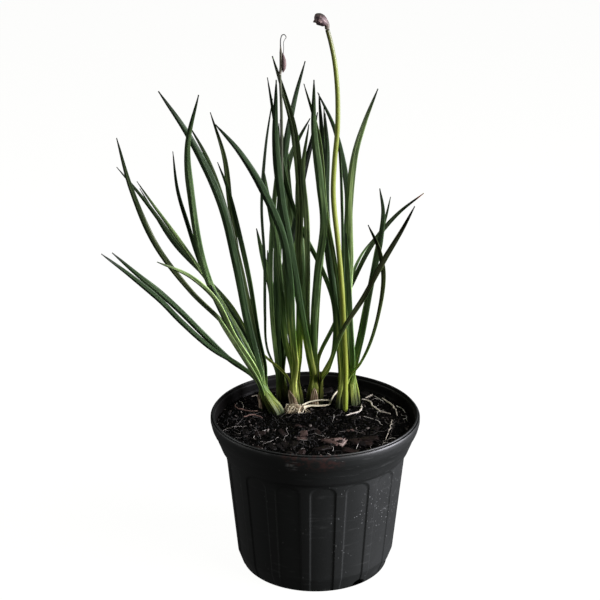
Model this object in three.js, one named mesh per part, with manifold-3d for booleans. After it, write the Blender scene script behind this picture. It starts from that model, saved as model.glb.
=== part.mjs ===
// Society garlic growing in a black nursery pot.
// Millimetres, +Z up, front towards -Y. The origin is the centre of the pot's flat underside.
import * as THREE from 'three';
import { mergeVertices } from 'three/addons/utils/BufferGeometryUtils.js';
import Module from 'manifold-3d';

const wasm = await Module();
wasm.setup();

// Nursery pot
const POT_HEIGHT = 140;
const RIM_RADIUS = 90.4;
const FOOT_RADIUS = 64.8;
const FLOOR = 2.4;
const POT_SIDES = 60;
const PANELS = 16;
const FIRST_PANEL = 4.4;
const PANEL_SPAN = 16.2;
const PANEL_DEPTH = 0.9;
const PANEL_ARCH = 0.65;
const PANEL_BOTTOM = -1;
const PANEL_TOP = 105.6;
const DRAINS = 3;
const FIRST_DRAIN = 35;
const DRAIN_RADIUS = 6;
const DRAIN_HEIGHT = 7;

// Radius and height of the pot's outside, from the foot up to the rim.
const OUTSIDE = [
  [FOOT_RADIUS, 0], [69.3, 13], [78.4, 106], [81.4, 109.5], [86.2, 122.5], [89.1, 128],
  [RIM_RADIUS, 134], [RIM_RADIUS, 138.4], [89, POT_HEIGHT],
];

// Radius and height of the pot's inside, from the rim down to the floor.
const INSIDE = [
  [87.4, POT_HEIGHT], [87.2, 137.2], [86.4, 136.4], [86.3, 130], [84.2, 122.8], [79.6, 109.9],
  [76.5, 105.8], [67.5, 13.4], [63.5, FLOOR],
];

// Potting mix
const SOIL_LEVEL = 129;
const SOIL_RADIUS = 85.1;
const SOIL_RINGS = 8;
const SOIL_RELIEF = 0.8;
const SOIL_DIP = 1.2;
const GAP = 0.35;
const HOLE_DEPTH = 12;
const CHIPS = 12;

// Leaves: the length of a step along a blade, the thickness of its edge and keel and the depth of
// its channel, how late it arches out, and the share of its length that is wrapped in the neck.
const LEAF_STEP = 30;
const ARCH = 1.5;
const NECK_SHARE = 0.12;
// Height above the mix of each ring of a neck, and its share of the neck's radius.
const NECK_RINGS = [[0.3 - HOLE_DEPTH, 0.8], [-6, 1], [1, 1], [10, 0.9], [22, 0.66], [36, 0.42]];
const EDGE = 0.6;
const KEEL = 0.75;
const CHANNEL = 0.4;
const NECK_SIDES = 10;
const STEM_TAPER = 0.8;

// Leaf paths are laid out on the upright plane through the pot's axis, as they appear from this
// viewpoint, and each point is then slid along its line of sight to its own depth.
const VIEWPOINT = new THREE.Vector3(-13, -1092, 629);

// Each shoot has the place and radius of its neck in the soil. Each leaf has the depth (y) of its
// tip, how far its middle bows back, its width, how far its face is turned from the viewer at the
// neck and at the tip, and its path [x, z] from the neck to the tip.
const SHOOTS = {
  shoot_left_front: {
    base: [-33.5, 21.5], radius: 6.4, leaves: [
      { tip: -25, bow: 0, width: 5.4, turn: [50, 20],
        path: [[-46, 163], [-64, 181], [-88, 197], [-113, 221], [-131, 241], [-155, 263], [-178, 282]] },
      { tip: -5, bow: 0, width: 5.6, turn: [45, 15],
        path: [[-49, 168], [-74, 188], [-93, 208], [-114, 231], [-130, 247], [-149, 264], [-169, 283]] },
      { tip: -45, bow: 0, width: 5.5, turn: [60, 35],
        path: [[-52, 180], [-68, 207], [-84, 241], [-105, 262], [-132, 275]] },
      { tip: 15, bow: 0, width: 5.8, turn: [65, 15],
        path: [[-56, 180], [-75, 216], [-105, 249], [-133, 290], [-151, 337], [-161, 380]] },
      { tip: -30, bow: 0, width: 6.5, turn: [20, 10],
        path: [[-49, 170], [-71, 214], [-92, 266], [-102, 328], [-104, 374], [-94, 415]] },
      { tip: 5, bow: 0, width: 7, turn: [35, 20],
        path: [[-50, 172], [-66, 205], [-80, 235], [-88, 255]] },
      { tip: -55, bow: 0, width: 6, turn: [60, 45],
        path: [[-48, 165], [-60, 186], [-75, 212], [-86, 232]] },
    ],
  },
  shoot_left_back: {
    base: [-44, 31], radius: 4.8, leaves: [
      { tip: 10, bow: 0, width: 7.2, turn: [25, 10],
        path: [[-49, 182], [-58, 223], [-67, 275], [-79, 328], [-102, 380], [-126, 418]] },
      { tip: 40, bow: 0, width: 5.5, turn: [40, 20],
        path: [[-46, 178], [-54, 223], [-63, 270], [-75, 321], [-88, 362], [-102, 390]] },
      { tip: 65, bow: 0, width: 5.5, turn: [50, 20],
        path: [[-44, 173], [-51, 219], [-63, 270], [-70, 324], [-74, 363], [-85, 401]] },
      { tip: 35, bow: 0, width: 5, turn: [50, 20],
        path: [[-42, 176], [-48, 210], [-55, 259], [-64, 304], [-72, 338], [-80, 360]] },
      { tip: 60, bow: 0, width: 4.4, turn: [55, 20],
        path: [[-46, 176], [-64, 219], [-92, 261], [-116, 292], [-142, 330], [-162, 356]] },
      { tip: 25, bow: 0, width: 4, turn: [50, 20],
        path: [[-46, 170], [-70, 223], [-101, 275], [-124, 310], [-136, 328], [-146, 344]] },
      { tip: 55, bow: 0, width: 4.5, turn: [60, 30],
        path: [[-44, 170], [-64, 214], [-92, 264], [-106, 310], [-113, 337], [-116, 369]] },
      { tip: 55, bow: 0, width: 6, turn: [40, 20],
        path: [[-46, 175], [-54, 222], [-62, 265], [-68, 300]] },
    ],
  },
  shoot_middle_back: {
    base: [-29.5, 51], radius: 5.5, leaves: [
      { tip: 90, bow: 0, width: 4.5, turn: [70, 50],
        path: [[-34, 173], [-42, 201], [-43, 228], [-43, 277], [-45, 324], [-41, 374], [-35, 412]] },
      { tip: 110, bow: 0, width: 6, turn: [30, 10],
        path: [[-30, 178], [-34, 214], [-37, 250], [-45, 285], [-49, 304]] },
      { tip: 75, bow: 0, width: 6.5, turn: [45, 10],
        path: [[-31, 178], [-33, 232], [-33, 277], [-30, 320], [-26, 366], [-17, 413], [-9, 442]] },
      { tip: 130, bow: 0, width: 6.5, turn: [30, 10],
        path: [[-29, 182], [-32, 223], [-31, 277], [-28, 324], [-20, 366], [-11, 385], [-5, 396]] },
      { tip: 100, bow: 0, width: 6.5, turn: [40, 10],
        path: [[-28, 178], [-31, 223], [-26, 268], [-16, 310], [-11, 345], [-3, 380], [1, 401]] },
      { tip: 150, bow: 0, width: 6.5, turn: [50, 30],
        path: [[-27, 180], [-24, 240], [-22, 300], [-24, 350], [-29, 395]] },
      { tip: 60, bow: 0, width: 6, turn: [60, 40],
        path: [[-32, 175], [-37, 225], [-38, 275], [-35, 325], [-31, 365], [-30, 392]] },
      { tip: 165, bow: 0, width: 6, turn: [40, 20],
        path: [[-31, 180], [-34, 225], [-38, 260], [-40, 285]] },
    ],
  },
  shoot_middle: {
    base: [-15.8, 38.8], radius: 6, leaves: [
      { tip: -80, bow: 0, width: 7, turn: [40, 15],
        path: [[-17, 180], [-20, 214], [-22, 259], [-28, 298], [-44, 337], [-62, 368], [-81, 391]] },
      { tip: 30, bow: 0, width: 6.5, turn: [45, 20],
        path: [[-19, 176], [-26, 205], [-30, 255], [-34, 298], [-40, 333], [-43, 356]] },
      { tip: 75, bow: 0, width: 4.5, turn: [70, 50],
        path: [[-28, 172], [-51, 200], [-71, 236], [-92, 261], [-119, 292], [-144, 338]] },
      { tip: 60, bow: 0, width: 7, turn: [30, 5],
        path: [[-14.5, 178], [-13, 232], [-14, 281], [-13, 337], [-18, 387], [-26, 417], [-35, 446]] },
      { tip: 120, bow: 0, width: 6.5, turn: [45, 20],
        path: [[-15, 180], [-13, 235], [-17, 290], [-22, 340], [-24, 380]] },
      { tip: 20, bow: 0, width: 6, turn: [65, 50],
        path: [[-18, 178], [-23, 220], [-26, 262], [-27, 300], [-26, 335]] },
    ],
  },
  shoot_centre: {
    base: [0.5, 43], radius: 7.6, leaves: [
      { tip: -45, bow: 0, width: 7, turn: [30, 5],
        path: [[-5, 189], [-12, 228], [-21, 285], [-29, 333], [-33, 378], [-32, 427]] },
      { tip: 20, bow: 0, width: 5.5, turn: [50, 20],
        path: [[-4, 185], [-7, 223], [-7, 268], [-8, 311], [-11, 354], [-6, 391]] },
      { tip: -20, bow: 0, width: 7, turn: [35, 10],
        path: [[-1, 182], [-2, 214], [1, 264], [6, 307], [3, 341], [-2, 387], [-2, 427]] },
      { tip: 70, bow: 0, width: 5.5, turn: [55, 30],
        path: [[13, 182], [17, 210], [15, 241], [5, 270], [-10, 301], [-23, 338], [-32, 387], [-39, 429]] },
      { tip: 58, bow: 12, width: 5, turn: [60, 25],
        path: [[2, 186], [16, 219], [30, 254], [47, 290], [67, 316], [88, 334]] },
      { tip: -80, bow: -22, width: 5.8, turn: [65, 30],
        path: [[10, 174], [22, 211], [41, 244], [58, 278], [72, 304], [81, 323]] },
      { tip: 75, bow: 0, width: 6.5, turn: [40, 20],
        path: [[-6, 190], [-9, 240], [-13, 290], [-15, 335], [-14, 370]] },
      { tip: 120, bow: 0, width: 6, turn: [50, 30],
        path: [[0, 185], [2, 240], [6, 290], [9, 335], [8, 375], [6, 405]] },
      { tip: 150, bow: 0, width: 6, turn: [40, 20],
        path: [[-3, 190], [-8, 235], [-10, 275], [-9, 310]] },
    ],
  },
  shoot_right_front: {
    base: [23.5, 33], radius: 5.6, leaves: [
      { tip: 85, bow: 10, width: 6.5, turn: [45, 20],
        path: [[22, 187], [18, 234], [11, 278], [7, 324], [5, 378], [2, 416]] },
      { tip: 20, bow: 0, width: 5.5, turn: [50, 30],
        path: [[24, 187], [21, 241], [15, 282], [8, 320], [2, 382], [-10, 424]] },
      { tip: -40, bow: 0, width: 5.5, turn: [82, 30],
        path: [[30, 167], [45, 197], [54, 231], [57, 264], [52, 288], [43, 307]] },
      { tip: 60, bow: 0, width: 4, turn: [60, 50],
        path: [[26, 185], [24, 223], [23, 275], [22, 316], [20, 358], [16, 395]] },
      { tip: 35, bow: 0, width: 6, turn: [35, 10],
        path: [[21, 187], [16, 240], [11, 285], [8, 330], [9, 370], [7, 400]] },
    ],
  },
  shoot_right_back: {
    base: [35.5, 39.5], radius: 5, leaves: [
      { tip: 110, bow: 0, width: 6, turn: [45, 20],
        path: [[25, 187], [25, 250], [25, 298], [25, 337], [15, 386], [1, 417]] },
      { tip: 60, bow: 0, width: 7, turn: [35, 15],
        path: [[30, 182], [27, 228], [28, 277], [27, 324], [31, 366], [39, 394], [49, 420]] },
      { tip: 25, bow: 0, width: 6, turn: [50, 20],
        path: [[34, 180], [40, 214], [46, 255], [53, 294], [55, 318], [52, 338]] },
      { tip: 75, bow: 0, width: 4.5, turn: [55, 30],
        path: [[33, 182], [39, 219], [46, 257], [53, 296], [58, 315], [61, 331]] },
      { tip: 100, bow: 0, width: 4, turn: [60, 40],
        path: [[31, 187], [28, 223], [30, 259], [37, 279], [48, 296]] },
      { tip: 15, bow: 0, width: 5.5, turn: [50, 30],
        path: [[32, 183], [29, 225], [27, 262], [25, 300]] },
    ],
  },
};

// Flowering stems: neck in the soil, radius, depth of the top and path [x, z] up to the bud.
const SCAPE = {
  base: [27, 24], radius: 1.8, top: -5,
  path: [[26, 159], [26, 182], [24, 218], [22, 252], [18, 294], [15, 320], [14, 337],
    [15, 362], [17, 387], [17, 411], [16, 427], [14, 443], [11, 457], [8.4, 466.4]],
};
const OLD_SCAPE = {
  base: [-17.5, 52], radius: 1.3, top: 40,
  path: [[-18, 176], [-22, 210], [-25, 259], [-27, 311], [-28, 362], [-28, 403], [-29, 431]],
};

// Buds: the path [x, z] on from the end of the stem, with the radius at each point.
const BUD = [
  [7.2, 469.8, 2.5], [5.2, 472.6, 3.4], [3, 474.6, 3.8], [0.9, 475.4, 3.5], [-0.7, 474.9, 2.6],
  [-2, 473.4, 0.7],
];
const OLD_BUD = [
  [-28.2, 434.5, 1.5], [-27.2, 438, 2.1], [-26.9, 441.5, 2.2], [-27.6, 446, 1.3], [-28.5, 449.5, 0.7],
  [-28.4, 458, 0.5], [-27.4, 461.8, 0.45], [-26.2, 462.2, 0.45],
];

// The bare crown of the rhizome, of which the part above the mix is made, with the two stubs and
// the runner that grow from it: route [x, y], steps, height of the middle above the mix, and radii.
const RHIZOME = [
  { route: [[-24.5, 26], [-20, 27.5], [-15, 25.5], [-10.5, 27]], steps: 6, rise: 1.4,
    radii: [2, 3.6, 3.9, 3.3, 1.6] },
  { route: [[-21, 26], [-22, 21.5], [-23.5, 18]], steps: 3, rise: 0.8, radii: [2.2, 1.8, 1] },
  { route: [[-15, 26], [-14, 21], [-15.5, 17.5]], steps: 3, rise: 0.6, radii: [2.4, 1.6, 0.9] },
  { route: [[-12, 27], [-5, 31], [3, 31], [12, 33], [14.5, 41], [17, 53], [21, 66]], steps: 14, rise: 2,
    radii: [1.8, 1.5, 1.2, 1.3, 1, 0.8] },
];

// Roots lying bare on the potting mix: radius and route [x, y].
const ROOTS = {
  root_left_long: { radius: 1, route: [[-71, 37], [-70, 29], [-66, 24], [-60, 21], [-50, 20]] },
  root_left_short: { radius: 0.8, route: [[-62, 9], [-54, 11], [-46, 8]] },
  root_twig: { radius: 0.8, route: [[-57, 55], [-53, 56], [-50, 49]] },
  root_right_hook: { radius: 0.9, route: [[41.5, 34], [41, 26], [35, 18], [27, 12]] },
  root_right_long: { radius: 1.1, route: [[42.5, 46], [48, 44], [52, 32], [57, 20], [66, 13]] },
  root_right_back: { radius: 0.9, route: [[46, 50], [51, 55], [53, 59]] },
  root_right_side: { radius: 1, route: [[61, 50], [68, 38], [71, 26], [72, 12]] },
  root_straw: { radius: 0.7, route: [[67, 4], [65, -10], [59, -36]] },
};

// Papery sheaths round the necks: shoot, facing angle, spread and height.
const SHEATHS = {
  dry_sheath_middle: { shoot: 'shoot_middle', facing: 215, spread: 130, height: 15 },
  dry_sheath_centre: { shoot: 'shoot_centre', facing: 262, spread: 60, height: 17 },
  dry_sheath_left: { shoot: 'shoot_left_back', facing: 205, spread: 90, height: 13 },
};

const BLACK_PLASTIC = new THREE.MeshStandardMaterial({ color: 0x1c1e1e, roughness: 0.5, metalness: 0 });
const POTTING_MIX = new THREE.MeshStandardMaterial({ color: 0x1b1512, roughness: 1, metalness: 0 });
const LEAF = new THREE.MeshStandardMaterial({ color: 0x3f5a38, roughness: 0.55, metalness: 0 });
const SCAPE_GREEN = new THREE.MeshStandardMaterial({ color: 0x93ad45, roughness: 0.5, metalness: 0 });
const WITHERED = new THREE.MeshStandardMaterial({ color: 0x7d6f52, roughness: 0.9, metalness: 0 });
const BUD_MAUVE = new THREE.MeshStandardMaterial({ color: 0x5b4349, roughness: 0.75, metalness: 0 });
const PAPERY = new THREE.MeshStandardMaterial({ color: 0xa08c6c, roughness: 0.9, metalness: 0 });
const RHIZOME_BROWN = new THREE.MeshStandardMaterial({ color: 0x8c7c62, roughness: 0.9, metalness: 0 });
const ROOT = new THREE.MeshStandardMaterial({ color: 0x9c8f7e, roughness: 0.85, metalness: 0 });

// A seeded random number from 0 to 1.
function randomFrom(seed) {
  let state = seed >>> 0;
  return () => {
    state = (Math.imul(state, 1664525) + 1013904223) >>> 0;
    return state / 4294967296;
  };
}

function solid(geometry) {
  const plain = geometry.index ? geometry.toNonIndexed() : geometry.clone();
  plain.deleteAttribute('normal');
  plain.deleteAttribute('uv');
  const merged = mergeVertices(plain, 1e-4);
  const vertProperties = new Float32Array(merged.attributes.position.array);
  const triVerts = new Uint32Array(merged.index.array);
  return new wasm.Manifold(new wasm.Mesh({ numProp: 3, vertProperties, triVerts }));
}

function meshOf(body, name, material) {
  const { vertProperties, triVerts } = body.getMesh();
  const geometry = new THREE.BufferGeometry();
  geometry.setAttribute('position', new THREE.BufferAttribute(new Float32Array(vertProperties), 3));
  geometry.setIndex(new THREE.BufferAttribute(new Uint32Array(triVerts), 1));
  geometry.computeVertexNormals();
  const mesh = new THREE.Mesh(geometry, material);
  mesh.name = name;
  return mesh;
}

// A closed body skinned over rings of points, each of an even number. The first and last ring are
// capped by a strip of quads between facing points, which also fits a thin curved band.
// alike[i] tells that side i of the ring splits its quads along the other diagonal.
function skin(rings, alike = []) {
  const count = rings[0].length;
  const positions = rings.flat().flatMap((p) => [p.x, p.y, p.z]);
  const index = [];
  for (let i = 0; i < rings.length - 1; i++) {
    for (let j = 0; j < count; j++) {
      const a = i * count + j;
      const b = i * count + (j + 1) % count;
      const c = a + count;
      const d = b + count;
      if (alike[j]) index.push(a, b, c, b, d, c);
      else index.push(a, b, d, a, d, c);
    }
  }
  const last = (rings.length - 1) * count;
  for (let j = 0; j < count / 2 - 1; j++) {
    const facing = count - 1 - j;
    index.push(j, facing - 1, j + 1, j, facing, facing - 1);
    index.push(last + j, last + j + 1, last + facing - 1, last + j, last + facing - 1, last + facing);
  }
  const geometry = new THREE.BufferGeometry();
  geometry.setAttribute('position', new THREE.Float32BufferAttribute(positions, 3));
  geometry.setIndex(index);
  return geometry;
}

function onSightLine(x, z, depth) {
  const point = new THREE.Vector3(x, 0, z).sub(VIEWPOINT);
  return point.multiplyScalar(1 - depth / VIEWPOINT.y).add(VIEWPOINT);
}

// Pot

// A shell that follows the foot and the wall as deep as the panels lie, and reaches well outside.
function panelShell() {
  const inner = OUTSIDE.slice(0, 3).map(([radius, height]) => [radius - PANEL_DEPTH, height]);
  const start = [inner[0][0], PANEL_BOTTOM];
  const top = OUTSIDE[2][1];
  return lathed([start, [RIM_RADIUS, PANEL_BOTTOM], [RIM_RADIUS, top], ...inner.reverse(), start]);
}

// A round-topped block that stands across the wall at one panel, and runs out through the foot.
function panelBlock(angle) {
  const half = THREE.MathUtils.degToRad(PANEL_SPAN / 2) * OUTSIDE[2][0];
  const straight = PANEL_TOP - half * PANEL_ARCH;
  const shape = new THREE.Shape();
  shape.moveTo(-half * 0.92, PANEL_BOTTOM);
  shape.lineTo(half * 0.92, PANEL_BOTTOM);
  shape.lineTo(half, straight);
  shape.absellipse(0, straight, half, half * PANEL_ARCH, 0, Math.PI, false);
  const block = new THREE.ExtrudeGeometry(shape, { depth: 50, bevelEnabled: false, curveSegments: 4 });
  block.rotateX(Math.PI / 2);
  block.translate(0, -45, 0);
  block.rotateZ(angle);
  return solid(block);
}

function drainHole(angle) {
  const cutter = new THREE.CylinderGeometry(DRAIN_RADIUS, DRAIN_RADIUS, DRAIN_HEIGHT * 2, 12);
  cutter.rotateX(Math.PI / 2);
  cutter.translate(0, -FOOT_RADIUS, 0);
  cutter.rotateZ(angle);
  return solid(cutter);
}

function lathed(profile) {
  const points = profile.map(([radius, height]) => new THREE.Vector2(radius, height));
  const lathe = new THREE.LatheGeometry(points, POT_SIDES);
  lathe.rotateX(Math.PI / 2);
  return solid(lathe);
}

function pot() {
  const shell = panelShell();
  let body = lathed([[0, 0], ...OUTSIDE, ...INSIDE, [0, FLOOR]]);
  for (let i = 0; i < PANELS; i++) {
    const block = panelBlock(THREE.MathUtils.degToRad(FIRST_PANEL + i * 360 / PANELS));
    body = body.subtract(shell.intersect(block));
  }
  for (let i = 0; i < DRAINS; i++) {
    body = body.subtract(drainHole(THREE.MathUtils.degToRad(FIRST_DRAIN + i * 360 / DRAINS)));
  }
  return meshOf(body, 'pot', BLACK_PLASTIC);
}

// Potting mix

// The surface rolls a little, and lies flat at its edge and round each neck.
function soilHeight(x, y) {
  const edge = THREE.MathUtils.smoothstep(SOIL_RADIUS - Math.hypot(x, y), 0, 14);
  let collar = 1;
  for (const { base, radius } of standing()) {
    const away = Math.hypot(x - base[0], y - base[1]) - radius;
    collar = Math.min(collar, THREE.MathUtils.smoothstep(away, 3, 12));
  }
  const waves = Math.sin(0.16 * x + 1.3) * Math.cos(0.19 * y) + 0.6 * Math.sin(0.27 * x - 0.23 * y);
  return SOIL_LEVEL - SOIL_DIP * (1 - edge) + SOIL_RELIEF * waves * edge * collar;
}

function standing() {
  return [...Object.values(SHOOTS), SCAPE, OLD_SCAPE];
}

function soilBlock() {
  const side = INSIDE.slice(4).map(([radius, height]) => [radius - GAP - 0.1, height + GAP]);
  const rows = [];
  for (let i = 1; i <= SOIL_RINGS; i++) rows.push([SOIL_RADIUS * i / SOIL_RINGS, null]);
  rows.push(...side);
  const rings = rows.map(([radius, height]) => {
    const ring = [];
    for (let j = 0; j < POT_SIDES; j++) {
      const angle = -2 * Math.PI * j / POT_SIDES;
      const x = radius * Math.cos(angle);
      const y = radius * Math.sin(angle);
      ring.push(new THREE.Vector3(x, y, height ?? soilHeight(x, y)));
    }
    return ring;
  });
  return solid(skin(rings));
}

function barkChip(x, y, random) {
  const chip = new THREE.BoxGeometry(5 + 5 * random(), 3 + 3 * random(), 2.2 + random());
  chip.rotateX((random() - 0.5) * 0.5);
  chip.rotateY((random() - 0.5) * 0.6);
  chip.rotateZ(random() * Math.PI);
  chip.translate(x, y, soilHeight(x, y) + 0.3);
  return solid(chip);
}

function nearRoot(x, y, distance) {
  return Object.values(ROOTS).some(({ route }) => route.some((point, i) => {
    const next = route[Math.min(i + 1, route.length - 1)];
    const middle = [(point[0] + next[0]) / 2, (point[1] + next[1]) / 2];
    return [point, middle].some((p) => Math.hypot(x - p[0], y - p[1]) < distance);
  }));
}

function pottingMix() {
  const random = randomFrom(11);
  let body = soilBlock();
  let placed = 0;
  while (placed < CHIPS) {
    const x = -60 + 125 * random();
    const y = -72 + 80 * random();
    const clearOfWall = Math.hypot(x, y) < 74;
    const clearOfNecks = standing().every(({ base, radius }) =>
      Math.hypot(x - base[0], y - base[1]) > radius + 9);
    if (clearOfWall && clearOfNecks && !nearRoot(x, y, 10)) {
      body = body.add(barkChip(x, y, random));
      placed += 1;
    }
  }
  for (const { base, radius } of standing()) {
    const hole = new THREE.CylinderGeometry(radius + GAP, radius + GAP, HOLE_DEPTH * 2, 12);
    hole.rotateX(Math.PI / 2);
    hole.translate(base[0], base[1], SOIL_LEVEL);
    body = body.subtract(solid(hole));
  }
  return meshOf(body, 'potting_mix', POTTING_MIX);
}

// Shoots

// The line of a shoot's neck: upright in the soil, then leaning towards its leaves.
function neckLine(shoot) {
  const starts = shoot.leaves.map((leaf) => firstPoint(shoot, leaf));
  const mean = starts.reduce((sum, p) => sum.add(p), new THREE.Vector3()).divideScalar(starts.length);
  const rise = mean.z - SOIL_LEVEL;
  return (height) => {
    const share = Math.max(height - 1, 0) / rise;
    return new THREE.Vector3(
      THREE.MathUtils.lerp(shoot.base[0], mean.x, share),
      THREE.MathUtils.lerp(shoot.base[1], mean.y, share),
      SOIL_LEVEL + height,
    );
  };
}

function neck(shoot) {
  const line = neckLine(shoot);
  const rings = [];
  for (const [height, girth] of NECK_RINGS) {
    const middle = line(height);
    const ring = [];
    for (let j = 0; j < NECK_SIDES; j++) {
      const angle = 2 * Math.PI * j / NECK_SIDES;
      const radius = shoot.radius * girth;
      const out = new THREE.Vector3(Math.cos(angle), Math.sin(angle), 0).multiplyScalar(radius);
      ring.push(out.add(middle));
    }
    rings.push(ring);
  }
  return solid(skin(rings));
}

// Depth of a leaf at a share of its length: it starts at its shoot and arches out to its tip's depth.
function depthAt(shoot, leaf, share) {
  const straight = THREE.MathUtils.lerp(shoot.base[1], leaf.tip, share ** ARCH);
  return straight + leaf.bow * Math.sin(Math.PI * share);
}

function firstPoint(shoot, leaf) {
  return onSightLine(...leaf.path[0], depthAt(shoot, leaf, NECK_SHARE));
}

function leafCurve(shoot, leaf, line) {
  const flat = [[shoot.base[0], SOIL_LEVEL + 12], ...leaf.path];
  const lengths = [0];
  for (let i = 1; i < flat.length; i++) {
    const run = Math.hypot(flat[i][0] - flat[i - 1][0], flat[i][1] - flat[i - 1][1]);
    lengths.push(lengths[i - 1] + run);
  }
  const total = lengths[lengths.length - 1];
  const points = [line(7)];
  for (let i = 1; i < flat.length; i++) {
    points.push(onSightLine(...flat[i], depthAt(shoot, leaf, lengths[i] / total)));
  }
  return new THREE.CatmullRomCurve3(points, false, 'centripetal');
}

// Share of the full width along a leaf: a little wider in the neck, and drawn out to the tip.
function widthAt(share) {
  const foot = THREE.MathUtils.lerp(1.15, 1, THREE.MathUtils.smoothstep(share, 0, 0.3));
  const point = Math.min(1, ((1 - share) / 0.3) ** 0.75);
  return foot * point;
}

// A strap-shaped blade, channelled above and keeled below, in a section of six points.
function blade(curve, leaf) {
  const steps = THREE.MathUtils.clamp(Math.round(curve.getLength() / LEAF_STEP), 5, 11);
  const rings = [];
  let side = 0;
  for (let i = 0; i <= steps; i++) {
    const share = i / steps;
    const middle = curve.getPointAt(share);
    const along = curve.getTangentAt(share);
    const sight = middle.clone().sub(VIEWPOINT).normalize();
    const across = new THREE.Vector3().crossVectors(along, sight).normalize();
    const towards = new THREE.Vector3().crossVectors(across, along).normalize();
    const turn = THREE.MathUtils.degToRad(THREE.MathUtils.lerp(...leaf.turn, share));
    const width = across.clone().multiplyScalar(Math.cos(turn)).addScaledVector(towards, Math.sin(turn));
    const face = new THREE.Vector3().crossVectors(along, width).normalize();
    if (side === 0) side = face.z < 0 ? -1 : 1;
    const half = Math.max(leaf.width * widthAt(share) / 2, 0.5);
    const fold = CHANNEL * half / 3.5;
    const keel = THREE.MathUtils.lerp(0.35, KEEL, Math.min(1, half / 3));
    const section = [[-half, EDGE / 2 + fold], [0, EDGE / 2 - fold / 2], [half, EDGE / 2 + fold],
      [half, fold - EDGE / 2], [0, -keel], [-half, fold - EDGE / 2]];
    rings.push(section.map(([u, v]) => middle.clone()
      .addScaledVector(width, -u * side).addScaledVector(face, v * side)));
  }
  return solid(skin(rings, [false, false, false, true, true, false]));
}

// Fills any small hollow that is shut in between leaves where they overlap in the neck.
function outerSkin(body) {
  const pieces = body.decompose();
  return pieces.reduce((largest, piece) => (piece.volume() > largest.volume() ? piece : largest));
}

function shootMesh(name, shoot) {
  const line = neckLine(shoot);
  let body = neck(shoot);
  for (const leaf of shoot.leaves) {
    body = body.add(blade(leafCurve(shoot, leaf, line), leaf));
  }
  return meshOf(outerSkin(body), name, LEAF);
}

// Stems and buds

// A round body along a list of points with a radius at each.
function taperedTube(points, radii, steps, sides) {
  const curve = new THREE.CatmullRomCurve3(points, false, 'centripetal');
  const rings = [];
  let across = new THREE.Vector3(1, 0.13, 0);
  for (let i = 0; i <= steps; i++) {
    const share = i / steps;
    const middle = curve.getPoint(share);
    const along = curve.getTangent(share);
    across = across.clone().addScaledVector(along, -across.dot(along)).normalize();
    const up = new THREE.Vector3().crossVectors(along, across);
    const place = share * (radii.length - 1);
    const low = Math.min(Math.floor(place), radii.length - 2);
    const radius = THREE.MathUtils.lerp(radii[low], radii[low + 1], place - low);
    const ring = [];
    for (let j = 0; j < sides; j++) {
      const angle = 2 * Math.PI * j / sides;
      ring.push(middle.clone().addScaledVector(across, radius * Math.cos(angle))
        .addScaledVector(up, radius * Math.sin(angle)));
    }
    rings.push(ring);
  }
  return solid(skin(rings));
}

function stemPoints({ base, top, path }) {
  const points = [new THREE.Vector3(base[0], base[1], SOIL_LEVEL + 0.3 - HOLE_DEPTH)];
  points.push(new THREE.Vector3(base[0], base[1], SOIL_LEVEL + 1));
  path.forEach(([x, z], i) => {
    const depth = THREE.MathUtils.lerp(base[1], top, (i + 1) / path.length);
    points.push(onSightLine(x, z, depth));
  });
  return points;
}

function stem(stemData, name, material) {
  const { radius } = stemData;
  const tube = taperedTube(stemPoints(stemData), [radius, radius, radius * STEM_TAPER], 22, 8);
  return meshOf(tube, name, material);
}

// A bud sits on the end of its stem, a hair's breadth clear of it.
function bud(rows, stemData, name, material, steps) {
  const [before, end] = stemPoints(stemData).slice(-2);
  const start = end.clone().addScaledVector(end.clone().sub(before).normalize(), 2 * GAP);
  const points = [start, ...rows.map(([x, z]) => onSightLine(x, z, stemData.top))];
  const radii = [stemData.radius * STEM_TAPER, ...rows.map((row) => row[2])];
  return meshOf(taperedTube(points, radii, steps, 8), name, material);
}

// Roots and sheaths

function bareRoot(name, { radius, route }) {
  const points = route.map(([x, y]) => new THREE.Vector3(x, y, soilHeight(x, y) + radius + 0.6));
  return meshOf(taperedTube(points, [radius * 0.7, radius, radius * 0.6], 8, 6), name, ROOT);
}

// One body, cut off a hair's breadth above the mix.
function rhizome() {
  const [first, ...rest] = RHIZOME.map(({ route, steps, rise, radii }) => {
    const points = route.map(([x, y]) => new THREE.Vector3(x, y, soilHeight(x, y) + rise));
    return taperedTube(points, radii, steps, 8);
  });
  const body = rest.reduce((whole, piece) => whole.add(piece), first);
  const bare = body.subtract(soilBlock().translate(0, 0, GAP));
  return meshOf(outerSkin(bare), 'rhizome', RHIZOME_BROWN);
}

function drySheath(name, { shoot, facing, spread, height }) {
  const { radius } = SHOOTS[shoot];
  const line = neckLine(SHOOTS[shoot]);
  const columns = 5;
  const rings = [];
  for (const [share, narrow] of [[0.06, 1], [0.4, 0.9], [0.75, 0.6], [1, 0.12]]) {
    const level = height * share;
    const middle = line(level);
    const inner = radius * THREE.MathUtils.lerp(1, 0.9, level / 10) + 0.45 + 0.8 * share;
    const ring = [];
    for (let j = 0; j < columns * 2; j++) {
      const outward = j < columns;
      const place = (outward ? j : 2 * columns - 1 - j) / (columns - 1) - 0.5;
      const angle = THREE.MathUtils.degToRad(facing + spread * narrow * place);
      const reach = outward ? inner + 0.7 : inner;
      const out = new THREE.Vector3(Math.cos(angle), Math.sin(angle), 0).multiplyScalar(reach);
      ring.push(out.add(middle));
    }
    rings.push(ring);
  }
  return meshOf(solid(skin(rings)), name, PAPERY);
}

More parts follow.
